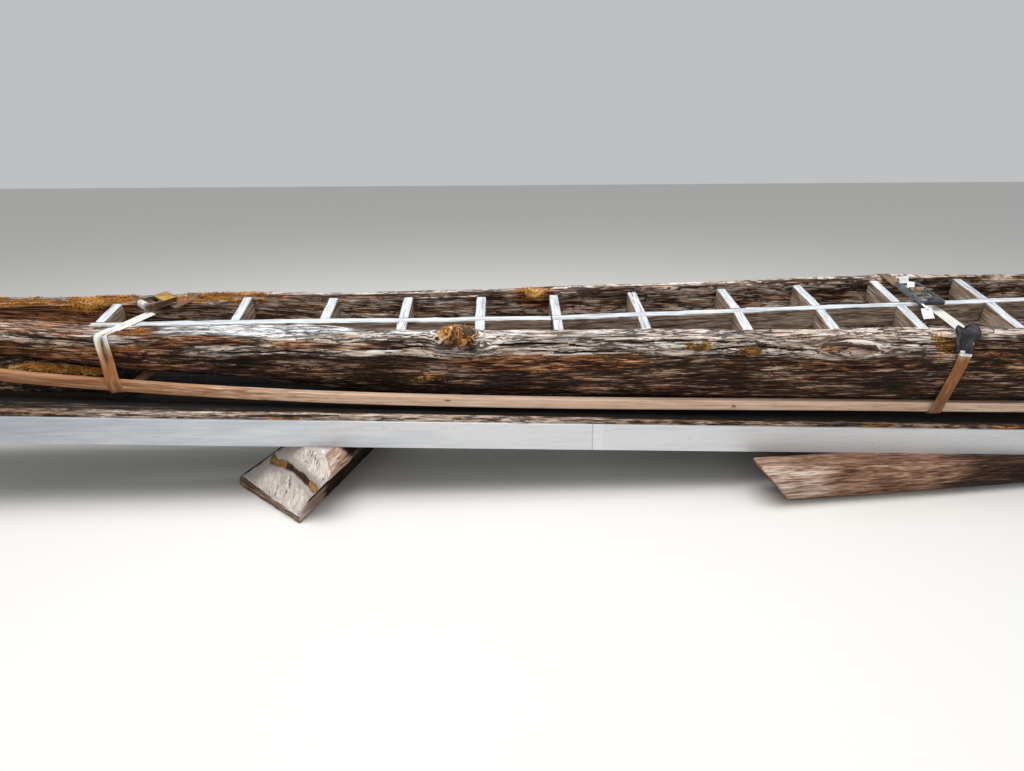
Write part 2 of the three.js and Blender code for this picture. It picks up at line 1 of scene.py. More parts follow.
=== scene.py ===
# %% [markdown]
# # A dugout canoe on its cradle
# A log of six metres was hollowed into a canoe. A grid of boards keeps its sides apart while it
# dries, and two ratchet straps hold it, with a batten along each side, on an aluminium stage that
# lies on logs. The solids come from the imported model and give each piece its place. This lesson
# gives them their looks. Lengths are in metres unless a name ends in _MM.

# %% The frame
import math

import bmesh
import bpy
import numpy as np
from mathutils import Matrix, Vector
from mathutils.geometry import convex_hull_2d


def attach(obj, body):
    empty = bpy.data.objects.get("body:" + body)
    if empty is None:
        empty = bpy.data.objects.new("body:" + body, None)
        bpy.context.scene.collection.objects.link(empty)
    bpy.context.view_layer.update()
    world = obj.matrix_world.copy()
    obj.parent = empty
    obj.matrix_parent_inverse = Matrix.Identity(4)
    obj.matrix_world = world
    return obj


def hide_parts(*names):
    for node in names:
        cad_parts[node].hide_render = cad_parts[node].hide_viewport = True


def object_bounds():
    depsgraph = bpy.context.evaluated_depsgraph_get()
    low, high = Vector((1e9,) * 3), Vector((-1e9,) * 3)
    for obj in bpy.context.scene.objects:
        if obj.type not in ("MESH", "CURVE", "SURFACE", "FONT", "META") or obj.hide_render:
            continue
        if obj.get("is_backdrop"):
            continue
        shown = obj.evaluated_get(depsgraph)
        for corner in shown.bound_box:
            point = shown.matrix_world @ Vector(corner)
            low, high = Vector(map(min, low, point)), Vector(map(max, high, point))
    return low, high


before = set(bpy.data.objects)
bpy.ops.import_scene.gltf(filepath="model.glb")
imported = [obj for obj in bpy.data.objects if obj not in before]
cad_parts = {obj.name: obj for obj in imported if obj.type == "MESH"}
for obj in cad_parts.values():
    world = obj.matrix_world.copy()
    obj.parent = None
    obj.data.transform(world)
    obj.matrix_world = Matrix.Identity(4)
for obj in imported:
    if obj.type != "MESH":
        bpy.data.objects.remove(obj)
cad_low, cad_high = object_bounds()
MM = 0.001
print("solids:", len(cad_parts), "box:", [round(v, 3) for v in (*cad_low, *cad_high)])

# %% [markdown]
# ## The camera
# The picture was taken from a standing height, 2.5 m in front of the near rail, looking down by
# 17.5 degrees. A camera can be turned by Euler angles, but here its three axes are known from the
# fit, so they are written into its matrix as they are.

# %% The camera
PICTURE_WIDTH, FOCAL_PIXELS, SENSOR_MM = 1024, 730, 36
EYE = (-0.43207, -2.80026, 1.240)
PITCH, YAW, ROLL = (math.radians(a) for a in (17.5, -2.5, 0.3))


def linked(name, data):
    """A new object in the scene."""
    made = bpy.data.objects.new(name, data)
    bpy.context.scene.collection.objects.link(made)
    return made


def look():
    """The camera's matrix from its pitch, yaw and roll."""
    level, down = math.cos(PITCH), -math.sin(PITCH)
    ahead = Vector((-math.sin(YAW) * level, math.cos(YAW) * level, down))
    right = Vector((math.cos(YAW), math.sin(YAW), 0))
    above = right.cross(ahead)
    turned_right = math.cos(ROLL) * right - math.sin(ROLL) * above
    turned_above = math.sin(ROLL) * right + math.cos(ROLL) * above
    turned = Matrix((turned_right, turned_above, -ahead)).transposed().to_4x4()
    return Matrix.Translation(EYE) @ turned


camera = linked("camera", bpy.data.cameras.new("camera"))
camera.data.sensor_width = SENSOR_MM
camera.data.sensor_fit = "HORIZONTAL"
camera.data.lens = SENSOR_MM * FOCAL_PIXELS / PICTURE_WIDTH
camera.matrix_world = look()
bpy.context.scene.camera = camera
print("lens:", round(camera.data.lens, 2), "mm")

# %% [markdown]
# ## Nodes and colours
# Each finish below is a small net of nodes. One helper adds a node and feeds it, so that every
# material reads as a list of what goes into what. Colours are written as in a paint program, and
# one function turns them to the linear values that Blender mixes.

# %% Nodes and colours
def colour(hex_value):
    """An sRGB hex value as linear red, green, blue and alpha."""
    parts = [int(hex_value[i:i + 2], 16) / 255 for i in (1, 3, 5)]
    return [p / 12.92 if p <= 0.04045 else ((p + 0.055) / 1.055) ** 2.4 for p in parts] + [1.0]


def feed(tree, node, feeds):
    """Feeds a node's sockets with values, with sockets or with the first output of other nodes."""
    for socket, value in feeds.items():
        if isinstance(value, bpy.types.Node):
            value = next(output for output in value.outputs if output.enabled)
        if isinstance(value, bpy.types.NodeSocket):
            tree.links.new(value, node.inputs[socket])
        else:
            node.inputs[socket].default_value = value


def add(tree, kind, feeds=None, **settings):
    """Adds a node with its settings and links."""
    made = tree.nodes.new(kind)
    for name, value in settings.items():
        setattr(made, name, value)
    feed(tree, made, feeds or {})
    return made


def blank(name):
    """A new material, its node tree and its shader."""
    made = bpy.data.materials.new(name)
    made.use_nodes = True
    return made, made.node_tree, made.node_tree.nodes["Principled BSDF"]


def paint(tree, factor, stops):
    """A colour ramp over a factor, from evenly spread hex colours."""
    ramp = add(tree, "ShaderNodeValToRGB", {"Fac": factor})
    marks = ramp.color_ramp.elements
    marks[0].color, marks[1].color = colour(stops[0]), colour(stops[-1])
    for i, stop in enumerate(stops[1:-1], start=1):
        marks.new(i / (len(stops) - 1)).color = colour(stop)
    return ramp


print("mid grey as light:", round(colour("#808080")[0], 3))

# %% [markdown]
# ## Noise in numbers
# Real timber is never even. The shapes below are built as arrays of points, so their unevenness
# is worked out in arrays too: a lattice of random numbers, made smooth between its points. The
# same points always give the same numbers, because nothing in it depends on the clock.

# %% Noise in numbers
def lattice(x, y, z, seed):
    """A number from -1 to 1 for each whole-numbered point."""
    wide = np.uint64(0xFFFFFFFF)
    mixed = (x.astype(np.int64) * 374761393 + y.astype(np.int64) * 668265263
             + z.astype(np.int64) * 974634777 + seed * 1446653)
    mixed = mixed.astype(np.uint64) & wide
    mixed = ((mixed ^ (mixed >> np.uint64(13))) * np.uint64(1274126177)) & wide
    mixed = ((mixed ^ (mixed >> np.uint64(15))) * np.uint64(2246822519)) & wide
    return ((mixed ^ (mixed >> np.uint64(16))) & np.uint64(0xFFFF)).astype(float) / 32767.5 - 1


def rough(points, size, seed=1, octaves=3):
    """Smooth noise from about -1 to 1, whose features have the given size along each axis."""
    total, weight, scale = 0.0, 0.0, 1.0
    for octave in range(octaves):
        at = points / np.array(size) * scale
        whole = np.floor(at)
        part = at - whole
        part = part * part * (3 - 2 * part)
        value = 0.0
        for corner in range(8):
            step = np.array([corner & 1, (corner >> 1) & 1, corner >> 2])
            share = np.prod(np.where(step, part, 1 - part), axis=-1)
            value = value + share * lattice(*(np.moveaxis(whole + step, -1, 0)), seed + octave * 17)
        total = total + value * 0.5 ** octave
        weight += 0.5 ** octave
        scale *= 2.03
    return total / weight * 1.4


def ease(low, high, value):
    """0 below low, 1 above high, and smooth in between."""
    t = np.clip((value - low) / (high - low), 0, 1)
    return t * t * (3 - 2 * t)


print("noise at a point:", round(float(rough(np.array([[0.3, 0.2, 0.7]]), (1, 1, 1))[0]), 3))

# %% [markdown]
# ## From arrays to pieces
# A long piece is a row of rings, one for each place along it. The loft below sews the rings
# together and closes both ends with smaller and smaller rings, so the ends can be uneven too.
# Each point also carries a grain value: how far it lies along the wood and across it. The
# materials read that, so the pattern follows the timber however it bends.

# %% From arrays to pieces
END_RINGS = (0.93, 0.8, 0.6, 0.4, 0.2)


def loft(rings, grain, caps=END_RINGS):
    """Points, grain and faces of a closed skin over an array of (stations, points round, 3)."""
    count, around = rings.shape[:2]
    layers, grains = [rings], [grain]
    for end in (0, -1):
        ring = rings[end]
        centre = ring.mean(axis=0)
        smaller = np.array([centre + (ring - centre) * f for f in caps] + [np.tile(centre, (around, 1))])
        layers.append(smaller)
        grains.append(smaller + np.array([0, 7.0, 3.0]))
    points = np.concatenate([layer.reshape(-1, 3) for layer in layers])
    grain_all = np.concatenate([layer.reshape(-1, 3) for layer in grains])
    faces = [strip(i * around, (i + 1) * around, around) for i in range(count - 1)]
    body = count * around
    steps = len(caps) + 1
    for start, first in ((body, 0), (body + steps * around, (count - 1) * around)):
        rows = [first] + [start + k * around for k in range(steps)]
        turned = start == body
        pairs = [(b, a) if turned else (a, b) for a, b in zip(rows, rows[1:])]
        faces += [strip(a, b, around) for a, b in pairs]
    return points, grain_all, np.concatenate(faces)


def strip(a, b, around):
    """The faces between two rings that start at point a and at point b."""
    i = np.arange(around)
    j = (i + 1) % around
    return np.stack([a + i, a + j, b + j, b + i], axis=1)


print("end rings:", END_RINGS)

# %% [markdown]
# ### A piece and its body
# A mesh becomes a piece of the model when the export knows which body it rides on and which solids
# it stands for. Points that coincide are merged and the faces turned outwards before that, so every
# piece is one closed skin.

# %% A piece and its body
def piece(name, points, faces, finish, slot, nodes=(), sharp=None, **values):
    """A mesh piece on the root body. Extra arrays become attributes that the finish reads."""
    mesh = bpy.data.meshes.new(name)
    mesh.from_pydata(points.tolist(), [], [list(f) for f in faces])
    for key, array in values.items():
        array = np.asarray(array, np.float32)
        kind, field = ("FLOAT_VECTOR", "vector") if array.ndim == 2 else ("FLOAT", "value")
        mesh.attributes.new(key, kind, "POINT").data.foreach_set(field, array.ravel())
    tidy(mesh)
    mesh.shade_smooth()
    if sharp is not None:
        mesh.set_sharp_from_angle(angle=math.radians(sharp))
    mesh.materials.append(finish)
    made = linked(name, mesh)
    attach(made, "root")
    if nodes:
        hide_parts(*nodes)
    mesh.calc_loop_triangles()
    print(name, "triangles:", len(mesh.loop_triangles))
    return made


def tidy(mesh, distance=1e-6, turn=True):
    """Merges points that coincide and turns the skin so that its faces point outwards."""
    form = bmesh.new()
    form.from_mesh(mesh)
    bmesh.ops.remove_doubles(form, verts=form.verts, dist=distance)
    if turn:
        bmesh.ops.recalc_face_normals(form, faces=form.faces)
    form.to_mesh(mesh)
    form.free()


# %% [markdown]
# ## Wood that has lain outside
# Nearly everything here is old wood, so one recipe serves: long fibres, wider streaks, and checks
# that open along the grain. The streaks choose between a few tones of a colour. Layers of other
# tones, such as sun-bleached grey, lie over them where an attribute of the piece says so, and
# moss comes last. A painted picture would look right from one side only; a recipe on the grain
# holds from all sides. A fibre of wood is too fine to show here, so it is drawn 3.5 to 7 mm wide,
# and checks 18 to 34 mm apart.

# %% Wood that has lain outside
def old_wood(name, tones, layers=(), fibre_mm=5, streak_mm=16, check_mm=30, checks=0.5,
             check_tone="#1c120c", relief=0.8, roughness=0.85, stretch=14, contrast=0.13):
    """Fibres, streaks and checks along the grain, with layers of (attribute, tones, edge in mm)."""
    made, tree, shader = blank(name)
    grain = add(tree, "ShaderNodeAttribute", attribute_name="grain").outputs["Vector"]

    def spun(width_mm, longer, seed, detail=3.0, distortion=0.0):
        scale = (1000 / (width_mm * longer), 1000 / width_mm, 1000 / width_mm)
        place = add(tree, "ShaderNodeMapping", {"Vector": grain, "Location": (seed, seed * 1.7, 0.3),
                                                "Scale": scale})
        return add(tree, "ShaderNodeTexNoise", {"Vector": place, "Scale": 1.0, "Detail": detail,
                                                "Roughness": 0.62, "Distortion": distortion})

    def crack(width_mm, longer, seed, opening):
        line = spun(width_mm, longer, seed, detail=2.5, distortion=0.9)
        centred = add(tree, "ShaderNodeMath", {0: line, 1: 0.5}, operation="SUBTRACT")
        apart = add(tree, "ShaderNodeMath", {0: centred}, operation="ABSOLUTE")
        where = spun(width_mm * 2.2, longer * 0.5, seed + 9)
        width = add(tree, "ShaderNodeMapRange", {"Value": where, "From Min": 0.8 - checks * 0.5,
                                                 "From Max": 1.04 - checks * 0.5, "To Max": opening})
        split = add(tree, "ShaderNodeMath", {0: width, 1: apart}, operation="SUBTRACT")
        return add(tree, "ShaderNodeMapRange", {"Value": split, "From Min": 0.0, "From Max": 0.015})

    fibre = spun(fibre_mm, stretch, 3.1)
    streak = spun(streak_mm, stretch, 8.3, distortion=0.6)
    blotch = spun(70, 3, 5.7)
    mixed = 0.0
    for noise, weight in ((fibre, 0.6), (streak, 0.6), (blotch, 0.3)):
        mixed = add(tree, "ShaderNodeMath", {0: noise, 1: weight, 2: mixed}, operation="MULTIPLY_ADD")
    tone = add(tree, "ShaderNodeMapRange", {"Value": mixed, "From Min": 0.75 - contrast,
                                            "From Max": 0.75 + contrast})
    shade = paint(tree, tone, tones)
    for i, (attribute, layer_tones, edge_mm) in enumerate(layers):
        mask = add(tree, "ShaderNodeAttribute", attribute_name=attribute).outputs["Fac"]
        edge = spun(edge_mm, 1.6 if attribute == "moss" else 10, 11.0 + i * 2.3, detail=4.0)
        worn = add(tree, "ShaderNodeMath", {0: edge, 1: 1.3, 2: mask}, operation="MULTIPLY_ADD")
        shown = add(tree, "ShaderNodeMapRange", {"Value": worn, "From Min": 1.06, "From Max": 1.3})
        over = paint(tree, tone, layer_tones)
        shade = add(tree, "ShaderNodeMix", {0: shown, 6: shade, 7: over}, data_type="RGBA")
    # A check follows a line of equal height in a stretched noise, and opens where a second is high.
    wide = crack(check_mm, stretch, 21.0, 0.055)
    fine = crack(check_mm * 0.5, stretch * 0.7, 47.0, 0.045)
    open_ones = crack(check_mm * 1.8, stretch * 1.8, 33.0, 0.032)
    split = add(tree, "ShaderNodeMath", {0: wide, 1: fine}, operation="MAXIMUM")
    split = add(tree, "ShaderNodeMath", {0: split, 1: open_ones}, operation="MAXIMUM")
    dark = add(tree, "ShaderNodeMath", {0: split, 1: 0.9}, operation="MULTIPLY")
    shade = add(tree, "ShaderNodeMix", {0: dark, 6: shade, 7: colour(check_tone)}, data_type="RGBA")
    height = 0.0
    for part, weight in ((fibre, 0.8), (streak, 1.2), (split, -0.8)):
        height = add(tree, "ShaderNodeMath", {0: part, 1: weight, 2: height}, operation="MULTIPLY_ADD")
    dent = add(tree, "ShaderNodeBump", {"Strength": relief, "Distance": 0.006, "Height": height})
    feed(tree, shader, {"Base Color": shade, "Roughness": roughness, "Normal": dent,
                        "Specular IOR Level": 0.22})
    return made


MOSS = ("#42280d", "#8b5d28", "#bf8c48", "#e4be80")
print("tones in a recipe:", len(MOSS))

# %% [markdown]
# ## The hull
# The real hull is one log: cut flat at both ends, hollowed with an adze, and left with broad
# gunwales. It could be sculpted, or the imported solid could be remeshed, but a remesh gives faces
# of one size all over. Cracks run along the log, so the faces may be long, and have to be narrow
# across. The rings below follow the tables that shaped the solid, finely on the near side and
# coarsely under the keel.

# %% The hull's lines
HULL_PLACE = Matrix.Translation((-0.002074, 0.087142, 0.652)) @ (
    Matrix.Rotation(math.radians(-1.88), 4, "Z") @ Matrix.Rotation(math.radians(-0.36), 4, "Y")
    @ Matrix.Rotation(math.radians(13), 4, "X"))
ROUNDNESS, SWELL_AT, CROWN_MM = 2.7, 0.3, 14
OUTER_MM = np.array([
    # x, near half width, far half width, swell, depth, sheer
    [-3060, 48, 52, 4, 62, 34], [-2960, 92, 96, 8, 92, 30], [-2700, 128, 132, 12, 118, 20],
    [-2250, 150, 168, 14, 147, 8], [-1900, 196, 196, 16, 180, 0], [-1400, 212, 212, 20, 228, 0],
    [-900, 232, 206, 28, 300, 0], [-350, 246, 212, 38, 335, 0], [200, 254, 242, 45, 350, 0],
    [800, 277, 278, 40, 358, 0], [1500, 288, 306, 36, 366, 0], [2100, 288, 300, 34, 368, 0],
    [2600, 262, 268, 30, 352, 4], [2900, 208, 212, 22, 308, 12], [3060, 130, 134, 14, 236, 20]])
HOLLOW_MM = np.array([
    [-2720, 6, 8, 0, 8, 20], [-2500, 24, 40, 1, 44, 12], [-2250, 44, 78, 2, 84, 6],
    [-1900, 96, 98, 3, 112, 0], [-1400, 105, 121, 5, 158, 0], [-1050, 116, 118, 8, 205, 0],
    [-850, 162, 116, 12, 236, 0], [-350, 177, 142, 18, 256, 0], [200, 188, 178, 26, 270, 0],
    [800, 213, 214, 26, 276, 0], [1500, 225, 244, 24, 284, 0], [2100, 222, 236, 22, 284, 0],
    [2500, 178, 186, 16, 262, 0], [2740, 98, 104, 8, 190, 0], [2840, 26, 28, 2, 70, 0]])


def along(table, column, x):
    """One column of a table at every x, on a smooth curve through its rows."""
    last = len(table) - 1
    i = np.searchsorted(table[1:-1, 0], x, side="left")
    a, b = table[i], table[i + 1]
    before, after = table[np.maximum(i - 1, 0)], table[np.minimum(i + 2, last)]
    span = b[..., 0] - a[..., 0]
    t = np.clip((x - a[..., 0]) / span, 0, 1)
    step_in = (b[..., column] - before[..., column]) / (b[..., 0] - before[..., 0])
    step_out = (after[..., column] - a[..., column]) / (after[..., 0] - a[..., 0])
    slope_in = np.where(i == 0, 0, step_in)
    slope_out = np.where(i + 2 > last, 0, step_out)
    return ((2 * t ** 3 - 3 * t ** 2 + 1) * a[..., column] + (t ** 3 - 2 * t ** 2 + t) * slope_in * span
            + (3 * t ** 2 - 2 * t ** 3) * b[..., column] + (t ** 3 - t ** 2) * slope_out * span)


def lines(table, x, y, z):
    """Half width and drop of the unit outline (y, z) at x, in the hull's frame."""
    half = np.where(y < 0, along(table, 1, x), along(table, 2, x))
    climb = np.clip((z + SWELL_AT) / SWELL_AT, 0, 1)
    lean = along(table, 3, x) * np.cos(climb * math.pi / 2) ** 0.8
    return y * (half + lean), z * along(table, 4, x)


def quarter(side, steps, upward):
    """A quarter round of the unit outline between the keel and its widest level."""
    turn = np.linspace(math.pi / 2, 0, steps, endpoint=False)
    y = side * np.cos(turn) ** (2 / ROUNDNESS)
    z = -SWELL_AT - (1 - SWELL_AT) * np.sin(turn) ** (2 / ROUNDNESS)
    return (y, z) if upward else (y[::-1], z[::-1])


def wall(side, steps, upward):
    z = np.linspace(-SWELL_AT, 0, steps)
    z = z if upward else z[::-1]
    return np.full(steps, float(side)), z


print("half width amidships:", float(along(OUTER_MM, 1, np.array([0.0]))[0].round(1)), "mm")

# %% [markdown]
# ### Rings round the log
# A ring starts at the keel, climbs the near side, crosses the gunwale, goes down into the hollow
# and up again, and comes back down the far side. Past the ends of the hollow its inner part lies
# flat on the log's top, so every ring has the same number of points.

# %% Rings round the log
def hull_rings(x):
    """Rings in the hull's frame in metres, and for each point where on the log it is."""
    x = x[:, None]
    top = along(OUTER_MM, 5, x)
    parts, kinds = [], []

    def keep(y, z, kind):
        parts.append(np.stack([x + 0 * y, y, z], axis=-1))
        kinds.append(np.full(y.shape[1], kind))

    def outside(y, z):
        across, down = lines(OUTER_MM, x, y[None], z[None])
        return across, top + down

    def crown(across):
        half = np.where(across < 0, along(OUTER_MM, 1, x), along(OUTER_MM, 2, x))
        return CROWN_MM * ease(2500, 2900, np.abs(x)) * (1 - np.clip(across / half, -1, 1) ** 2)

    inside_x = np.clip(x, HOLLOW_MM[0, 0], HOLLOW_MM[-1, 0])
    open_here = (x >= HOLLOW_MM[0, 0]) & (x <= HOLLOW_MM[-1, 0])

    def inside(y, z):
        across, _ = lines(HOLLOW_MM, inside_x, y[None], z[None])
        lip = top + crown(across)
        reach = along(HOLLOW_MM, 4, inside_x) + lip - along(HOLLOW_MM, 5, inside_x)
        return across, np.where(open_here, lip + z[None] * reach, lip)

    def over(side, steps, inward):
        share = np.linspace(0, 1, steps + 2)[1:-1]
        outer = side * along(OUTER_MM, 1 if side < 0 else 2, x)
        inner = side * along(HOLLOW_MM, 1 if side < 0 else 2, inside_x)
        across = outer + (inner - outer) * (share if inward else 1 - share)
        return across, top + crown(across)

    keep(*outside(*quarter(-1, 42, True)), 0)
    keep(*outside(*wall(-1, 26, True)), 0)
    keep(*over(-1, 12, True), 1)
    keep(*inside(*wall(-1, 9, False)), 2)
    keep(*inside(*quarter(-1, 12, False)), 2)
    keep(*inside(*quarter(1, 20, True)), 2)
    keep(*inside(*wall(1, 13, True)), 2)
    keep(*over(1, 13, False), 3)
    keep(*outside(*wall(1, 13, False)), 4)
    keep(*outside(*quarter(1, 24, False)), 4)
    return np.concatenate(parts, axis=1) * MM, np.concatenate(kinds)


def stations(start, end, step, fine):
    """Places along a piece at a step, with as many again between them in the given stretches."""
    places = list(np.arange(start, end, step)) + [end]
    for low, high in fine:
        places += list(np.arange(low, high, step))
    return np.array(sorted(set(round(float(p), 1) for p in places)))


RING_STEP_MM = 14.5
hull_x = stations(OUTER_MM[0, 0], OUTER_MM[-1, 0], RING_STEP_MM, [(-640, -380), (850, 1150)])
rings, kinds = hull_rings(hull_x)
print("hull rings:", rings.shape)

# %% [markdown]
# ### What the years left on it
# The corners are rounded by averaging neighbours round each ring. Then come the marks of this
# log: a burl that breaks the near gunwale, a swelling over an old branch, a rotten notch in the far
# gunwale, a flat that was chopped smooth, long open cracks, and the ripple of the adze inside.
# Each is a short move of the points, so the grain value stays with them and bends as well.

# %% Burl, swelling, notch and chopped flat
BURLS_MM = [(-508, -232, -14, 84, 42, 54), (950, -304, -58, 120, 18, 52)]
NOTCH_MM = (-205, 166, 2, 46, 34, 30)
FLAT_MM = (-1240, -240, 30, 400, 125, 42)


def rounded(rings, times):
    for _ in range(times):
        rings = rings * 0.5 + (np.roll(rings, 1, axis=1) + np.roll(rings, -1, axis=1)) * 0.25
    return rings


def swollen(rings, row):
    """Pushes the points inside an egg out to its surface, with a soft foot."""
    centre, size = np.array(row[:3]) * MM, np.array(row[3:]) * MM
    away = (rings - centre) / size
    depth = np.maximum(np.linalg.norm(away, axis=-1, keepdims=True), 0.25)
    softened = (depth ** 5 + 1) ** 0.2
    return np.where(depth < 1.8, centre + away * (softened / depth) * size, rings)


def scooped(rings, row):
    """Lowers the points inside an egg to its underside."""
    centre, size = np.array(row[:3]) * MM, np.array(row[3:]) * MM
    away = (rings[..., :2] - centre[:2]) / size[:2]
    room = np.clip(1 - (away ** 2).sum(axis=-1), 0, 1)
    floor_z = centre[2] - size[2] * np.sqrt(room)
    lowered = rings.copy()
    lowered[..., 2] = np.where(room > 0, np.minimum(rings[..., 2], floor_z), rings[..., 2])
    return lowered


def arc_round(rings):
    """Length round each ring from its first point."""
    step = np.linalg.norm(np.diff(rings, axis=1), axis=-1)
    return np.concatenate([np.zeros((len(rings), 1)), np.cumsum(step, axis=1)], axis=1)


def outward(rings):
    """Normals of a ring grid, turned away from the wood."""
    ahead = np.gradient(rings, axis=0)
    round_ = np.roll(rings, -1, axis=1) - np.roll(rings, 1, axis=1)
    normal = np.cross(ahead, round_)
    return normal / np.maximum(np.linalg.norm(normal, axis=-1, keepdims=True), 1e-9)


before_marks = rounded(rings, 3)
arc = arc_round(before_marks)
near_corner = int(np.argmax(kinds == 1))
far_corner = int(np.argmax(kinds == 4))
below_near = arc[:, near_corner][:, None] - arc
below_far = arc - arc[:, far_corner][:, None]
near_share = 1 - np.clip((np.arange(arc.shape[1]) - near_corner) / (far_corner - near_corner), 0, 1)
apart = float((arc[:, far_corner] - arc[:, near_corner]).mean())
across_grain = -below_near * near_share + (below_far + apart) * (1 - near_share)
print("near side height round the outside:", round(float(arc[200, near_corner]), 3))

# %% [markdown]
# ### Zones of colour
# The sun has bleached the log above its widest level, and a chopped flat is paler still. Rain
# keeps it reddish below, rot has turned it nearly black at the bilge, and moss sits on the burl
# and on the gunwales. Zones could be painted by hand on the mesh. Here each is a row of a table,
# so it can be moved by a number: where it lies along the log, and how far below its corner.

# %% Zones of colour
NEAR_ZONES_MM = {
    # x from, x to, below the corner from, to, strength
    "bleach": [
        (-1250, 650, -90, 82, 0.9), (-3080, -1700, -90, 58, 0.8), (-1700, -1250, -90, 8, 0.6),
        (-1560, -1200, 40, 88, 0.85), (-3080, -2900, 0, 400, 0.5), (-400, 560, -70, 80, 1.0),
        (-2600, -1850, -110, 12, 0.9), (560, 1350, -80, 22, 0.9), (500, 1350, 0, 90, 0.78),
        (1250, 3080, -80, 30, 0.62)],
    "warm": [
        (-1690, -1250, 0, 46, 0.62), (-520, 240, 76, 140, 0.95), (-1830, -1640, -60, 6, 0.8),
        (-2500, -1500, 30, 200, 0.6), (300, 1300, 92, 134, 0.55), (-3080, -1850, -110, 50, 0.62),
        (1350, 2900, 30, 190, 0.5), (-1500, 2800, 100, 330, 0.36), (-560, -445, -20, 44, 0.6),
        (840, 1060, 24, 84, 0.4), (-1250, -640, 20, 60, 0.68), (560, 1250, 0, 90, 0.42)],
    "moss": [
        (-560, -458, -60, 22, 0.8), (-585, -450, -60, 26, 0.3), (333, 442, 26, 62, 0.95),
        (530, 625, 44, 80, 0.95), (1240, 1345, -6, 76, 0.8), (1190, 1310, 66, 120, 0.55),
        (-730, -430, 140, 200, 0.5), (850, 1050, 50, 80, 0.4), (-1850, -1680, -60, -4, 0.85)],
    "pale": [
        (-1640, -900, -90, 2, 1.0), (-1100, 350, -46, 4, 0.5)],
    "rot_and_crack_shade": [
        (880, 1010, 52, 84, 0.45), (-565, -430, 30, 62, 0.6), (-700, 120, 150, 230, 0.5),
        (1230, 1340, 96, 150, 0.6), (200, 760, 150, 210, 0.35), (-3080, 3080, 270, 900, 0.6)],
}
FAR_ZONES_MM = {
    # as above, but below the far corner
    "bleach": [
        (-3080, 3080, -34, 24, 1.0), (-1200, 3080, -50, 90, 0.42), (-3080, -1200, -50, 60, 0.4)],
    "warm": [
        (-2500, 1300, -190, -100, 0.5), (-300, -120, -130, 10, 0.9), (-2500, 1300, 24, 160, 0.5),
        (-2800, -1750, -280, -20, 0.85)],
    "moss": [
        (-2150, -1880, -130, 20, 1.0), (-2600, -2150, -90, 10, 0.85),
        (-1880, -1210, -110, 6, 0.72), (-260, -150, -100, 0, 0.85), (-1210, -760, -150, -70, 0.6),
        (200, 900, -30, 6, 0.36), (-2140, 2600, 150, 420, 0.3)],
}


def zone(rows, x, below):
    """How strongly the zones of one kind lie on each point."""
    most = np.zeros_like(below)
    for start, end, high, low, strength in rows:
        soft_x, soft_y = min(0.3 * (end - start), 220), min(0.35 * (low - high), 26)
        inside_x = ease(-soft_x, soft_x, x - start) * ease(-soft_x, soft_x, end - x)
        inside_y = ease(-soft_y, soft_y, below - high) * ease(-soft_y, soft_y, low - below)
        most = np.maximum(most, inside_x * inside_y * strength)
    return most


print("zones:", {kind: len(rows) for kind, rows in NEAR_ZONES_MM.items()})

# %% [markdown]
# ### The long cracks
# As a log dries, it opens along its grain. The real cracks run for a metre and more, and look
# dark. The finest are left to the material. The seventeen widest are lines with a wander: the points
# near them are moved inwards, and the rot tones darken them as painted shade.

# %% The long cracks
CRACKS_MM = [
    # x from, x to, below the near corner at each end, half width, depth, wander
    (-2300, -1820, 26, 34, 4, 7, 5), (-1560, -900, 66, 74, 4, 8, 6), (-1420, -980, 34, 30, 3, 6, 4),
    (-940, -600, 52, 40, 5, 9, 6), (-860, -560, 20, 24, 4, 7, 4), (-420, 60, 30, 46, 5, 10, 7),
    (-380, 320, 62, 70, 4, 8, 7), (-120, 760, 22, 26, 4, 8, 6), (240, 900, 50, 56, 5, 9, 7),
    (420, 840, 76, 84, 4, 8, 6), (980, 1700, 28, 36, 5, 9, 7), (1120, 1900, 60, 64, 4, 8, 7),
    (1500, 2500, 84, 92, 5, 9, 8), (1900, 2700, 40, 46, 5, 9, 7), (-760, 300, 108, 118, 4, 6, 9),
    (300, 1400, 120, 124, 4, 6, 9), (-1800, -700, 110, 130, 4, 6, 8),
]


def crack_depth(x, below):
    """Depth in metres of the open cracks at each point of the near side."""
    depth = np.zeros_like(below)
    for start, end, high, low, half, deep, wander in CRACKS_MM:
        t = np.clip((x - start) / (end - start), 0, 1)
        wave = np.sin(x / 61 + start) * 0.6 + np.sin(x / 23 + end) * 0.25 + np.sin(x / 143) * 0.5
        middle = high + (low - high) * t + wave * wander
        taper = np.sin(math.pi * t) ** 0.5 * ((x > start) & (x < end))
        close = np.exp(-((below - middle) / (half * (0.4 + 0.6 * taper))) ** 2)
        depth = np.maximum(depth, close * taper * deep)
    return depth * MM


print("cracks:", len(CRACKS_MM))

# %% [markdown]
# ### The shape of the hull
# Now the marks go on in their order: the zones are worked out first, then the burl and the
# swelling push the points out, the notch and the flat lower them, and the grain bends round each
# knot. Last come the ripple of the adze inside and the weathered ribs outside.

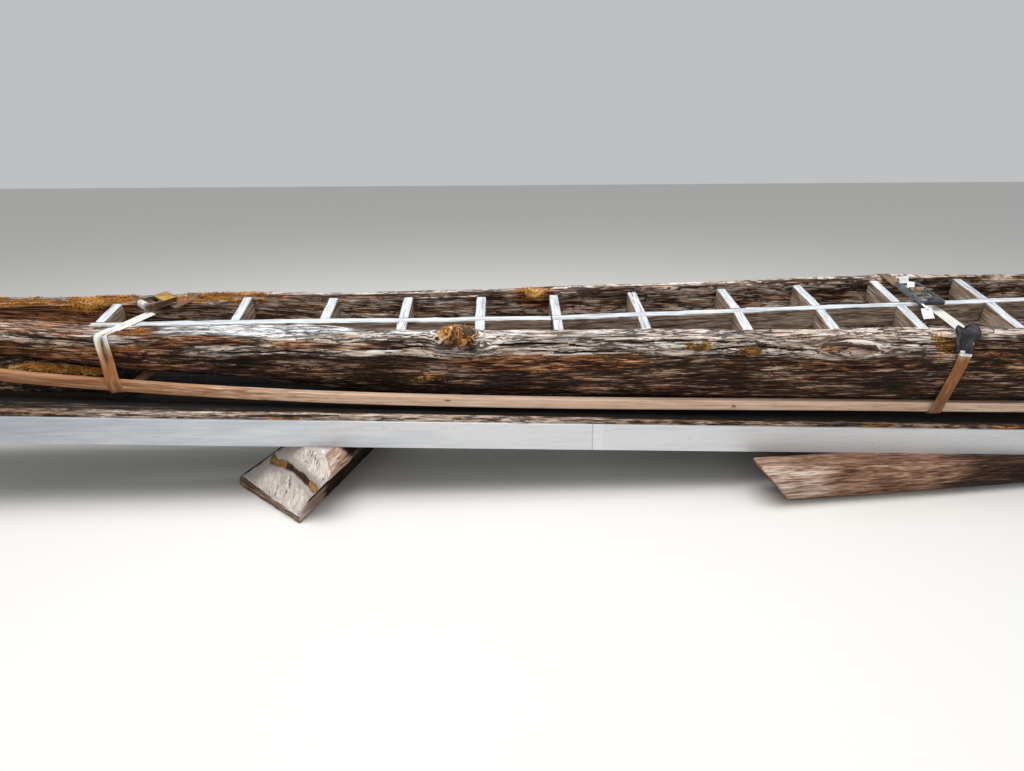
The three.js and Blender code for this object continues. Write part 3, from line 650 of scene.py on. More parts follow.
# %% The shape of the hull
CRACK_SHADE, NEAR_REACH = 0.85, 1.2
WAVE, RIB, ADZE, KNOB, RIM = 0.0042, 0.0024, 0.0036, 0.006, 0.002
x_grid = hull_x[:, None] + 0 * arc
zones = {}
for kind, rows in NEAR_ZONES_MM.items():
    near = zone(rows, x_grid, below_near / MM)
    far = zone(FAR_ZONES_MM.get(kind, ()), x_grid, below_far / MM)
    zones[kind] = np.maximum(near * (arc < NEAR_REACH), far)
# The inside of the hollow gets pale tones, made paler as painted light against the shade in the log.
zones["inner"] = np.repeat((kinds == 2).astype(float)[None], len(hull_x), axis=0)
cracks = crack_depth(x_grid, below_near / MM) * (kinds[None] == 0)
# Painted shade: the rot tones darken the open cracks.
zones["rot_and_crack_shade"] = np.maximum(zones["rot_and_crack_shade"], CRACK_SHADE * ease(0.12, 0.55, cracks / cracks.max()))
zones["moss"] *= 0.5 + 0.5 * ease(-0.5, 0.25, rough(before_marks, (0.05, 0.03, 0.03), 61, 3))

shaped = swollen(swollen(before_marks, BURLS_MM[0]), BURLS_MM[1])
shaped = scooped(scooped(shaped, NOTCH_MM), FLAT_MM)
normals = outward(shaped)
grain = np.stack([before_marks[..., 0], across_grain, 0 * arc], axis=-1)
for row, reach, push in ((BURLS_MM[0], (0.16, 0.075), 0.62), (BURLS_MM[1], (0.14, 0.05), 0.45)):
    at = int(np.argmin(np.abs(hull_x - row[0])))
    level = arc[at, near_corner] + row[2] * MM
    off = arc - level
    near_it = np.exp(-((grain[..., 0] - row[0] * MM) / reach[0]) ** 2 - (off / reach[1]) ** 2)
    grain[..., 1] -= off * push * near_it
burl_egg = (shaped - np.array(BURLS_MM[0][:3]) * MM) / (np.array(BURLS_MM[0][3:]) * MM)
egg = np.linalg.norm(burl_egg, axis=-1)
grain[..., 1] += 0.032 * rough(shaped, (0.05, 0.035, 0.035), 27, 2) * ease(1.7, 0.9, egg)
streaks = rough(grain, (0.35, 0.013, 1), 5, 3)
waves = rough(shaped, (0.55, 0.16, 0.16), 9, 3)
adze = rough(shaped, (0.09, 0.07, 0.07), 14, 2)
lift = WAVE * waves + RIB * streaks * (kinds[None] != 2) + ADZE * adze * (kinds[None] == 2)
lift += KNOB * rough(shaped, (0.024, 0.02, 0.02), 23, 2) * ease(1.5, 1.0, egg)
lift *= 1 - 0.6 * zones["pale"] * (kinds[None] == 1)
final = shaped - normals * (lift + cracks)[..., None]
final[..., 2] += RIM * rough(final, (0.12, 0.02, 1), 31, 2) * (kinds[None] % 4 > 0)
print("deepest crack:", round(float(cracks.max()) / MM, 1), "mm")

# %% [markdown]
# ### The hull's finish
# Cedar that has lain for generations: silver where the sun gets at it, rust-brown where it is
# damp, and nearly black at the bilge. Old dry wood has no gloss, so its roughness is high. Each
# zone of the table is a layer of tones, and its edge is a noise as wide as the number after it.

# %% The hull's finish and its mesh
hull_wood = old_wood(
    "old_carved_log", ("#110906", "#3a2317", "#6c503e", "#b59a86"),
    # The inner layer is weathered wood made paler as painted light against the shade in the hollow.
    layers=[("inner", ("#523c2e", "#a88f7a", "#dccab9", "#fff3e8"), 20),
            ("bleach", ("#8a7462", "#bbaa9b", "#d2c6bb", "#e8e0d8"), 20),
            ("warm", ("#3a1b0d", "#7e4b2d", "#ac754c", "#d8a980"), 16),
            ("pale", ("#b0aba7", "#d6d6d6", "#e7e9eb", "#f6f8fa"), 24),
            ("rot_and_crack_shade", ("#060302", "#130a06", "#271710", "#6a5542"), 16),
            ("moss", MOSS, 9)],
    fibre_mm=6, streak_mm=17, checks=0.86, check_mm=19, relief=0.9, contrast=0.12, stretch=12)


def placed(points, matrix=HULL_PLACE):
    """Points of the hull's frame as points of the whole."""
    return points @ np.array(matrix.to_3x3()).T + np.array(matrix.translation)


hull_points, hull_grain, hull_faces = loft(final, grain)


def with_ends(array):
    """A ring array made as long as the loft's points, with its edge values on the ends."""
    caps = len(END_RINGS) + 1
    return np.concatenate([array.ravel(), np.tile(array[0], caps), np.tile(array[-1], caps)])


piece("hull_log", placed(hull_points), hull_faces, hull_wood, "hull_wood", ("hull",),
      grain=hull_grain, **{kind: with_ends(values) for kind, values in zones.items()})

# %% [markdown]
# ## Fine copies of the solids
# Boards, blocks and logs keep the shape that their solids have. A copy of the solid is merged,
# because its triangles are loose, and remeshed into small even faces that can be moved. The
# grain value of such a piece is its place along and across the timber it was cut from.

# %% Fine copies of the solids
def baked(carrier):
    """The mesh that an object's modifiers make. The object itself goes."""
    graph = bpy.context.evaluated_depsgraph_get()
    result = bpy.data.meshes.new_from_object(carrier.evaluated_get(graph))
    bpy.data.objects.remove(carrier)
    return result


def arrays(mesh):
    """A mesh's points and faces as arrays."""
    points = np.zeros(len(mesh.vertices) * 3)
    mesh.vertices.foreach_get("co", points)
    return points.reshape(-1, 3), [tuple(p.vertices) for p in mesh.polygons]


def fine_copy(node, step):
    """Points, normals and faces of a solid, remeshed at the given step."""
    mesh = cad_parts[node].data.copy()
    tidy(mesh, distance=1e-5, turn=False)
    copy = linked("fine", mesh)
    remesh = copy.modifiers.new("even", "REMESH")
    remesh.mode = "VOXEL"
    remesh.voxel_size = step
    result = baked(copy)
    points, faces = arrays(result)
    normals = np.zeros(points.size)
    result.vertex_normals.foreach_get("vector", normals)
    return points, normals.reshape(-1, 3), faces


SEED_STEP = np.array([3.7, 1.3, 0.9])


def timber(points, direction, seed):
    """Each point's place along a direction and across it, moved by a seed."""
    ahead = np.array(Vector(direction).normalized())
    aside = np.cross((0, 0, 1), ahead)
    aside = aside / np.linalg.norm(aside)
    up = np.cross(ahead, aside)
    return np.stack([points @ ahead, points @ aside, points @ up], axis=1) + SEED_STEP * seed


print("points of a fine chock:", len(fine_copy("chock_1", 0.02)[0]))

# %% [markdown]
# ## The grid of boards
# Two long boards on edge run down the middle, and crosspieces on edge reach from them to the
# sides. They are softwood, gone silver-grey on top where the rain washes them and browner on
# their sides. Weathering lifts the hard rings above the soft ones, which is a ripple of half a
# millimetre.

# %% The grid of boards
board_wood = old_wood(
    "weathered_softwood_board", ("#4c3d30", "#7d6b5b", "#998674", "#bcac9b"),
    layers=[("washed", ("#94989d", "#b6bbc0", "#c9ced3", "#dde0e3"), 20)],
    fibre_mm=4, streak_mm=10, check_mm=22, checks=0.42, check_tone="#3f372f", relief=0.5, stretch=22)
HULL_AXES = [Vector(HULL_PLACE.col[i][:3]) for i in range(3)]


def board(node, direction, seed, step):
    """A silvered board: fibres raised, ends checked, top washed pale."""
    points, normals, faces = fine_copy(node, step)
    grain = timber(points, direction, seed)
    washed = ease(0.35, 0.8, normals @ np.array(HULL_AXES[2]))
    ripple = rough(grain, (0.2, 0.006, 0.006), 40 + seed, 2) * 0.0007
    warp = rough(grain, (0.4, 0.1, 0.1), 60 + seed, 1) * 0.0015
    moved = points + normals * (ripple + warp)[:, None]
    return piece(f"{node}_board", moved, faces, board_wood, "weathered_board", (node,),
                 grain=grain, washed=washed)


SPINE_STEP, CROSS_STEP, CHOCK_STEP = 0.0062, 0.0046, 0.006
board_nodes = sorted(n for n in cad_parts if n.startswith(("crosspiece", "spine")))
for seed, node in enumerate(board_nodes):
    axis, step = (0, SPINE_STEP) if node.startswith("spine") else (1, CROSS_STEP)
    board(node, HULL_AXES[axis], seed, step)

# %% [markdown]
# ## Where the battens run
# The two battens are new timber, square and bent along the bilge. The near one shows from end to
# end, so its line is a table. The far one could have a table too, but nothing shows it, so it
# simply follows the log's outline at one height.

# %% Where the battens run
STAGE_MM, RAIL_HEIGHT_MM, BATTEN_MM = (-2.074, -255.258, 174.6), 101.6, 38
FALL = math.radians(2.04)
STAGE_PLACE = Matrix.Translation([v * MM for v in STAGE_MM]) @ Matrix.Rotation(FALL, 4, "Y")
NEAR_BATTEN_MM = np.array([
    # x, height of its foot above the rails' tops, y of its outer face from the near rail
    [-2900, 120, 250], [-2180, 74, 172], [-1780, 57, 138], [-1420, 45, 116], [-1060, 38, 98],
    [-700, 35, 86], [-300, 34, 79], [100, 36, 75], [900, 43, 74], [1700, 47, 76], [2400, 50, 92],
    [2880, 54, 122]])


def near_line(x_mm):
    """Middle of the near batten: it hangs on the log's near side above the stage."""
    rail_top = STAGE_MM[2] - math.tan(FALL) * x_mm + RAIL_HEIGHT_MM / math.cos(FALL)
    y = along(NEAR_BATTEN_MM, 2, x_mm) + BATTEN_MM / 2 + STAGE_MM[1]
    z = rail_top + along(NEAR_BATTEN_MM, 1, x_mm) + BATTEN_MM / 2
    return np.stack([x_mm + STAGE_MM[0], y, z], axis=-1) * MM


def far_line(x_mm):
    """Middle of the far batten: it lies against the log at one place of its outline."""
    across, down = lines(OUTER_MM, x_mm, np.full(len(x_mm), 0.97), np.full(len(x_mm), -0.62))
    on_log = placed(np.stack([x_mm, across, down + along(OUTER_MM, 5, x_mm)], axis=-1) * MM)
    return np.stack([(x_mm + STAGE_MM[0]) * MM, on_log[:, 1] + 0.015, on_log[:, 2]], axis=-1)


BATTENS = [("near", near_line(np.arange(-2900, 2881, 20.0)), 1),
           ("far", far_line(np.arange(-2560, 2721, 20.0)), 3)]
print("batten stations:", [len(line) for _, line, _ in BATTENS])

# %% [markdown]
# ### A tree that sweeps a bar
# Each batten is a square section pulled along its line. That is a rule, so Geometry Nodes make it:
# the line of edges becomes a curve, a square with rounded corners is its profile, and Curve to
# Mesh pulls one along the other. A Bevel modifier on a bent box would not keep the section square.

# %% A tree that sweeps a bar
def started_tree(name, **inputs):
    """A new geometry tree with its named inputs and one geometry output."""
    tree = bpy.data.node_groups.new(name, "GeometryNodeTree")
    for label, kind in inputs.items():
        tree.interface.new_socket(label.replace("_", " "), in_out="INPUT",
                                  socket_type=f"NodeSocket{kind}")
    tree.interface.new_socket("Result", in_out="OUTPUT", socket_type="NodeSocketGeometry")
    return tree, add(tree, "NodeGroupInput")


def swept_bar_tree():
    """Geometry Nodes: a rounded square section pulled along the incoming line."""
    tree, given = started_tree("swept_bar", Line="Geometry", Size="Float", Corner="Float",
                               Finish="Material")
    line = add(tree, "GeometryNodeMeshToCurve", {"Mesh": given.outputs["Line"]})
    square = add(tree, "GeometryNodeCurvePrimitiveQuadrilateral",
                 {"Width": given.outputs["Size"], "Height": given.outputs["Size"]})
    soft = add(tree, "GeometryNodeFilletCurve", {"Curve": square, "Radius": given.outputs["Corner"],
                                                 "Count": 3}, mode="POLY")
    sides = add(tree, "GeometryNodeResampleCurve", {"Curve": soft, "Length": 0.0035}, mode="LENGTH")
    upright = add(tree, "GeometryNodeSetCurveNormal", {"Curve": line}, mode="Z_UP")
    bar = add(tree, "GeometryNodeCurveToMesh", {"Curve": upright, "Profile Curve": sides,
                                                "Fill Caps": True})
    whole = add(tree, "GeometryNodeRealizeInstances", {"Geometry": bar})
    done = add(tree, "GeometryNodeSetMaterial", {"Geometry": whole, "Material": given.outputs["Finish"]})
    add(tree, "NodeGroupOutput", {0: done})
    return tree


def grown(name, source_mesh, tree, **inputs):
    """Runs a tree on a mesh, with its inputs set by identifier, and returns a plain mesh."""
    carrier = linked(name, source_mesh)
    modifier = carrier.modifiers.new("tree", "NODES")
    modifier.node_group = tree
    for item in tree.interface.items_tree:
        if item.in_out == "INPUT" and item.name in inputs:
            modifier[item.identifier] = inputs[item.name]
    return baked(carrier)


def line_mesh(name, points):
    """A mesh that is only a chain of edges."""
    mesh = bpy.data.meshes.new(name)
    mesh.from_pydata([tuple(p) for p in points], [(i, i + 1) for i in range(len(points) - 1)], [])
    return mesh


bar_tree = swept_bar_tree()
print("nodes in the bar tree:", len(bar_tree.nodes))

# %% [markdown]
# ### Planed cedar
# The battens were planed, so their fibres are fine and hardly raised. Fresh cedar is pinkish tan,
# and it has greyed least about the middle. A few small knots sit in the outer face, where the
# grain closes round them.

# %% Planed cedar
batten_wood = old_wood(
    "planed_cedar_batten", ("#7b5337", "#966a4a", "#ab7e5b", "#c09571"),
    layers=[("fresh", ("#b49277", "#c9a88e", "#d5b7a0", "#e1c9b5"), 9),
            ("knot", ("#5a3822", "#7d5437", "#94694a", "#a57a59"), 20)],
    fibre_mm=3.5, streak_mm=8, check_mm=30, checks=0.16, check_tone="#5d3c26", relief=0.15,
    roughness=0.7, stretch=45, contrast=0.16)
# x, height above the middle, size
KNOTS_MM = [(-564, 6, 3), (541, -3, 5), (-112, 2, 3)]
# x in metres, how fresh the wood is there
FRESH = ((-2.3, -1.5, -0.8, -0.1, 1.0, 2.9), (0.12, 0.42, 0.75, 1.0, 0.72, 0.55))
for side_name, line, seed in BATTENS:
    mesh = grown("bar", line_mesh("line", line), bar_tree, Size=BATTEN_MM * MM, Corner=0.003,
                 Finish=batten_wood)
    points, faces = arrays(mesh)
    middle = np.stack([np.interp(points[:, 0], line[:, 0], line[:, k]) for k in range(3)], axis=1)
    grain = np.stack([points[:, 0], *(points - middle)[:, 1:].T], axis=1)
    knots = np.zeros(len(points))
    fresh = np.interp(points[:, 0], *FRESH)
    for x, up, size in KNOTS_MM:
        away = np.hypot((points[:, 0] - x * MM) / 1.6, grain[:, 2] - up * MM)
        knots = np.maximum(knots, ease(size * 1.4 * MM, size * 0.6 * MM, away))
        grain[:, 2] += (grain[:, 2] - up * MM) * 0.9 * np.exp(-(away / (size * 2.2 * MM)) ** 2)
    piece(f"batten_{side_name}_planed", points, faces, batten_wood, "clean_batten",
          (f"batten_{side_name}",), sharp=40, grain=grain + np.array([2.0, 0.11, 0.07]) * seed,
          knot=knots, fresh=fresh)

# %% [markdown]
# ## Split wood and bark
# The stage lies on blocks cut from logs, and a half log with its bark on lies under the bow. Split
# wood is dark where it has lain in the wet, darker still under the stage with painted shade, and pale
# on its cut faces, so the recipe for old wood serves again, with a layer for each kind of face. Bark
# is coarser and nearly as wide as long.

# %% Split wood and bark
block_wood = old_wood(
    "split_log_block", ("#0f0805", "#27160e", "#40281b", "#6d4e3b"),
    # Brown and cream lighten the flanks with painted light, face and slant are pale cut wood lit and
    # shaded with painted light and shade, rim darkens the upright end with painted shade, and the dark
    # base tones under the stage are painted shade.
    layers=[("brown", ("#3a2419", "#6b4a38", "#8d6b55", "#b08f78"), 40),
            ("cream", ("#6d4f3d", "#9a7d6a", "#bda595", "#d5c4b8"), 40),
            ("face", ("#b9aba0", "#d6cbc2", "#e6ddd5", "#f4ede7"), 20),
            ("slant", ("#9f9287", "#bdb1a7", "#cbc1b8", "#dcd4cc"), 16),
            ("rim", ("#3e2c20", "#6d5543", "#927a67", "#b7a08f"), 14), ("moss", MOSS, 9)],
    fibre_mm=4, streak_mm=12, check_mm=34, checks=0.5, relief=0.8)
bark = old_wood(
    "rough_bark", ("#0d0804", "#291c13", "#53402f", "#9a8169"),
    layers=[("moss", MOSS, 9)],
    fibre_mm=7, streak_mm=22, check_mm=24, checks=0.75, relief=1.0, stretch=5)
print("block layers:", ("brown", "cream", "face", "slant", "rim", "moss"))

# %% [markdown]
# ### A log's shape
# The solids have the right outline, but they are too even. Their fine copies are pushed out and in
# along the grain by a few millimetres. The left block has its pale end cut with a groove, and the
# grain there runs the other way, because one sees the wood's end and not its side.

# %% A log's shape
LEFT_HEADING = math.radians(76)


def log_piece(node, direction, seed, step, finish, slot, bumps, cut=None, kinds=(), **masks):
    """A log or block with an uneven skin. Each mask is a function of points and normals."""
    points, normals, faces = fine_copy(node, step)
    grain = timber(points, direction, seed)
    uneven = rough(grain, (0.3, 0.05, 0.05), 80 + seed, 3) * bumps
    on_ground = ease(0.004, 0.03, points[:, 2])
    made = {kind: np.zeros(len(points)) for kind in kinds}
    made.update({name: rule(points, normals) for name, rule in masks.items()})
    if cut:
        uneven -= cut(points) * GROOVE_DEPTH
        grain[:, 2] *= 1 - np.maximum(made["face"], made["rim"])
        grain[:, 0] *= 1 + 4 * made["face"]
        upright = made["rim"] > 0.5
        high = points[upright, 2]
        grain[upright] = np.stack([grain[upright, 1], high, 0 * high], axis=1)
    moved = points + normals * (uneven * on_ground)[:, None]
    return piece(f"{node}_worn", moved, faces, finish, slot, (node,), grain=grain, **made)


print("the left block points", round(math.degrees(LEFT_HEADING)), "degrees off the hull")

# %% [markdown]
# ### Where each colour lies on the blocks
# A block's faces differ because they lie differently, and that difference is painted in as light and
# shade: the slanting cut face is grey with painted shade, the top next to it creamy and brighter with
# painted light, the upright end dark with painted shade. Selecting faces by hand would be lost with
# the next remesh. These rules read where a point lies and which way it faces, so they hold at any
# step.

# %% Where each colour lies on the blocks
GROOVE_DEPTH = 0.009
SLANT = np.array(Vector((-0.45, -0.45, 0.77)))
GROOVE_MM = np.array([(-1234, -198, 135), (-1171, -251, 144), (-1098, -332, 134), (-1036, -412, 118)])


def left_groove(points):
    """Nearness to the curved groove in the left block's slanting face."""
    t = np.linspace(0, len(GROOVE_MM) - 1, 60)
    line = np.column_stack([np.interp(t, range(len(GROOVE_MM)), GROOVE_MM[:, k]) for k in range(3)]) * MM
    gap = np.linalg.norm(points[:, None] - line[None], axis=-1).min(axis=1)
    return np.exp(-(gap / (0.017 + 0.007 * rough(points, (0.03, 0.03, 0.03), 83, 2))) ** 2)


def left_face(points, normals):
    """The slanting face and the top next to it: pale cut wood, lit brighter on the top with painted
    light.
    """
    pale = ease(0.66, 0.8, normals @ SLANT)
    near_end = ease(-0.2, -0.3, points[:, 1] + 0.3 * (points[:, 0] + 1.0))
    return pale * near_end * (1 - 0.9 * left_groove(points))


def left_slant_shaded(points, normals):
    """The slanting face alone, greyer than the top with painted shade."""
    return left_face(points, normals) * ease(0.86, 0.95, normals @ SLANT)


def left_rim(points, normals):
    """The low end of the block, cut upright and darkened with painted shade."""
    return ease(0.25, 0.1, normals[:, 2]) * ease(0.75, 0.9, normals @ np.array((-0.73, -0.68, 0)))


def left_flank_lit(points, normals):
    """The flank toward the stern, lightened near its end with painted light where it faces up."""
    turned = ease(-0.1, 0.4, normals @ np.array((0.7, -0.12, 0.71)))
    return turned * ease(-0.16, -0.3, points[:, 1]) * 0.8


def left_moss(points, normals):
    """Moss sits at both ends of the groove."""
    ends = ease(-1.14, -1.19, points[:, 0]) + ease(-1.075, -1.055, points[:, 0])
    spots = ease(-0.5, 0.3, rough(points, (0.02, 0.02, 0.02), 84, 3))
    return left_groove(points) * np.clip(ends, 0.15, 1) * (0.55 + 0.45 * spots)


def right_cream(points, normals):
    """Painted light on the near flank, where it faces the front and comes out from the rail's shade."""
    painted_light = np.interp(points[:, 0], (0.64, 0.74, 0.9, 1.1), (0.85, 0.7, 0.3, 0.0))
    return painted_light * ease(-0.5, 0.6, -normals[:, 1])


def right_brown(points, normals):
    """Sound brown wood that gets darker into the shade of the stage."""
    return np.interp(points[:, 0], (0.8, 1.2, 1.65), (1.0, 0.85, 0.0))


def upward_moss(points, normals):
    """Moss on what faces up, but not in a band under the hull, where bare dark bark is painted shade."""
    spots = rough(points, (0.16, 0.16, 0.1), 91, 3)
    painted_shade_under_hull = ease(0.028, 0.042, points[:, 1]) * ease(0.24, 0.2, points[:, 1])
    return ease(0.1, 0.7, normals[:, 2]) * (0.4 + 0.55 * ease(-0.7, 0.2, spots)) * (1 - 0.9 * painted_shade_under_hull)


print("groove at its first point:", left_groove(GROOVE_MM[:1] * MM).round(2))

# %% [markdown]
# ### The four logs
# Each call gives a log its direction, its step and what lies on it. The far block is hidden under
# the stage, so its step is coarser.

# %% The four logs
BLOCK_KINDS = ("face", "slant", "brown", "cream", "moss", "rim")
log_piece("block_left", (math.cos(LEFT_HEADING), math.sin(LEFT_HEADING), 0), 1, 0.0065,
          block_wood, "block_wood", 0.004, left_groove, BLOCK_KINDS, face=left_face, slant=left_slant_shaded,
          brown=left_flank_lit, cream=left_flank_lit, moss=left_moss, rim=left_rim)
log_piece("block_right_near", (0.995, 0.1, 0), 2, 0.0065, block_wood, "block_wood", 0.004,
          kinds=BLOCK_KINDS, brown=right_brown, cream=right_cream)
log_piece("block_right_far", (1, -0.03, 0), 3, 0.0085, block_wood, "block_wood", 0.004,
          kinds=BLOCK_KINDS, brown=right_brown)
log_piece("bow_log", (1, 0, 0), 4, 0.0062, bark, "bark_log", 0.008, moss=upward_moss)

# %% [markdown]
# ## The deck planks
# Three planks lie on the stage between its rails. They have soaked up years of rain: brown, soft
# at the edges and mossy in places. Painted shade makes them nearly black under the log, and it stops
# along the near edge, which keeps lighter tones. Only the near plank's edge shows under the canoe,
# with a pale strip peeling off it. A plank could be a box with a bevel, but the edge is eaten away
# unevenly, so it is a loft whose near edge has the most points.

# %% The deck planks
PLANK_EDGES_MM, PLANK_END_MM, PLANK_MM, GAP_MM = [(9, 185), (191, 395), (401, 595)], 3020, 14, 0.3
EDGE_MOSS = ((-1.25, -1.09), (1.0, 1.12), (1.52, 1.66))
deck_wood = old_wood(
    # The base tones are dark wet wood, made darker still as painted shade.
    "wet_deck_plank_with_painted_shade", ("#0b0704", "#1d140e", "#342820", "#655547"),
    # The edge layer keeps lighter tones along the near edge, where the painted shade stops.
    layers=[("edge", ("#2a1a10", "#664a36", "#9c8069", "#cdb6a0"), 14),
            ("warm", ("#2f190b", "#5c391d", "#835a32", "#a67a4b"), 14),
            ("peeled", ("#6d5747", "#a28b79", "#c6b2a2", "#e2d2c4"), 14), ("moss", MOSS, 8),
            # The last layer is painted shade: near-black tones behind the near batten and under the log.
            ("damp", ("#040302", "#0a0705", "#130d09", "#241910"), 20)],
    fibre_mm=5, streak_mm=14, check_mm=18, checks=0.8, relief=0.8, stretch=10)


def plank_outline(near_steps, top_steps):
    """The plank's section in unit size, counterclockwise seen from the stern."""
    edge = [(0.0, t) for t in np.linspace(1, 0, near_steps)]
    under = [(t, 0.0) for t in np.linspace(0, 1, 9)[1:]]
    far = [(1.0, t) for t in np.linspace(0, 1, 4)[1:]]
    top = [(t, 1.0) for t in np.linspace(1, 0, top_steps)[1:-1] ** 1.3]
    return np.array(edge + under + far + top)


def deck_plank(index, near_steps, top_steps, step):
    near, far = PLANK_EDGES_MM[index]
    x = np.arange(-PLANK_END_MM, PLANK_END_MM + 0.1, step)[:, None]
    outline = plank_outline(near_steps, top_steps)
    wander = 1.5 * (np.sin(x / 310 + index * 2) * 0.6 + np.sin(x / 127 + index) * 0.4) + 1.5
    y = near + wander + outline[None, :, 0] * (far - near - 2 * wander)
    z = RAIL_HEIGHT_MM + GAP_MM + outline[None, :, 1] * PLANK_MM
    rings = np.stack([x + 0 * y, y, z + 0 * y], axis=-1) * MM
    grain = rings + np.array([1.7, 0.4, 0.2]) * (index + 1)
    eaten = np.clip(rough(grain, (0.14, 0.3, 0.008), 51, 3), 0, 1) * 0.004
    rings[..., 1] += eaten * (outline[None, :, 0] < 0.02)
    rings[..., 1] -= eaten * (outline[None, :, 0] > 0.98)
    rings[..., 2] += rough(grain, (0.3, 0.02, 1), 52, 2) * 0.0012 * (outline[None, :, 1] > 0.9)
    points, grain, faces = loft(rings, grain)
    on_edge = ease(0.02, 0.0, points[:, 1] - near * MM)
    warm = ease(-1.12, -1.0, points[:, 0]) * ease(-0.72, -0.82, points[:, 0]) * on_edge
    patches = rough(points, (0.16, 0.05, 1), 53, 3)
    moss = ease(0.2, 0.8, patches) * ease(0.006, 0.012, points[:, 2] - RAIL_HEIGHT_MM * MM) * 0.42
    for low, high in EDGE_MOSS:
        patch = ease(low, low + 0.03, points[:, 0]) * ease(high, high - 0.03, points[:, 0])
        moss = np.maximum(moss, patch * on_edge)
    # The band along the near edge where the painted shade stops, wider at the left, where the batten
    # stands farther in.
    strip = ease(-0.6, -2.2, points[:, 0]) * 0.05 + 0.022
    edge = ease(strip, strip * 0.5, points[:, 1] - near * MM) * (0.95 if index == 0 else 0.5)
    peeled = (ease(-2.1, -1.75, points[:, 0]) * ease(0.4, -0.3, points[:, 0])
              * ease(0.062, 0.03, points[:, 1] - near * MM) * 0.82)
    # Painted shade: near black behind the near batten and under the log, fading out towards the plank
    # ends.
    past_near_batten = points[:, 1] - along(NEAR_BATTEN_MM, 2, points[:, 0] / MM) * MM
    damp = (ease(-0.05, -0.02, past_near_batten) * ease(0.5, 0.4, points[:, 1])
            * ease(2.85, 2.45, np.abs(points[:, 0])))
    return piece(f"deck_plank_{index + 1}_worn", placed(points, STAGE_PLACE), faces, deck_wood,
                 "deck_board", (f"deck_plank_{index + 1}",), sharp=50, grain=grain, moss=moss, warm=warm,
                 peeled=peeled, edge=edge, damp=damp)


for index, (near_steps, top_steps, step) in enumerate(((8, 26, 12.0), (4, 22, 20.0), (4, 22, 20.0))):
    deck_plank(index, near_steps, top_steps, step)

# %% [markdown]
# ### Splinters
# A splinter is a long thin wedge that has let go at one end. Each is a loft of small uneven
# rings along a bent line, pale where the fresh wood shows.

# %% Splinters
SPLINTERS_MM = [
    # x from, x to, y, z of the middle at both ends, width, thickness
    (-1760, -960, 7, 112, 121, 9, 6), (-1690, -1300, 5, 122, 110, 5, 3),
    (-330, -262, 2, 118, 104, 5, 3), (-300, -255, -2, 121, 106, 3, 2), (700, 930, 7, 118, 115, 4, 3),
]


def splinter(row, seed):
    start, end, y, z_start, z_end, wide, thick = row
    t = np.linspace(0, 1, max(8, int((end - start) / 12)))[:, None]
    turn = np.linspace(0, 2 * math.pi, 11)[:-1][None]
    slim = np.clip(np.sin(math.pi * np.clip(t * 0.94 + 0.04, 0, 1)) ** 0.4, 0.12, 1)
    x = start + (end - start) * t + 0 * turn
    wave = np.sin(t * 9 + seed) * 1.5
    line_z = z_start + (z_end - z_start) * t + wave
    rings = np.stack([x, y + np.cos(turn) * thick / 2 * slim + wave * 0.6,
                      line_z + np.sin(turn) * wide / 2 * slim], axis=-1) * MM
    rings += rough(rings, (0.03, 0.004, 0.004), 70 + seed, 2)[..., None] * 0.0007 * np.array([0, 1, 1])
    return loft(rings, rings + seed * 0.9, caps=(0.5,))


def joined(parts):
    """Several (points, grain, faces) as one."""
    points, grains, faces, start = [], [], [], 0
    for part_points, part_grain, part_faces in parts:
        points.append(part_points)
        grains.append(part_grain)
        faces += [[start + i for i in face] for face in part_faces]
        start += len(part_points)
    return np.concatenate(points), np.concatenate(grains), faces


points, grain, faces = joined([splinter(row, seed) for seed, row in enumerate(SPLINTERS_MM)])
count = len(points)
piece("deck_splinters", placed(points, STAGE_PLACE), faces, deck_wood, "deck_board", grain=grain,
      peeled=0.4 + 0.6 * ease(-1.72, -1.6, points[:, 0]) * ease(-1.2, -1.4, points[:, 0]),
      warm=np.zeros(count), moss=np.zeros(count), edge=np.zeros(count), damp=np.zeros(count))

# %% [markdown]
# ## Chocks
# Two short boards stand on the deck and are cut to the hull's bottom. They are grey as the grid
# above, and their feet are damp.

# %% Chocks
for seed, node in enumerate(("chock_1", "chock_2"), start=31):
    board(node, (0, 1, 0), seed, CHOCK_STEP)

# %% [markdown]
# ## The aluminium stage
# Its rails are extruded channels with a mill finish: satin, with lines that the die draws along
# them, dulled by a cloudy oxide and nicked here and there. Oxide hides part of the metal, so the
# finish is only half metallic. Near the middle a short stretch of rail is lighter, with a seam.
# The die's lines are far finer than the picture, so they are drawn 2 mm wide.

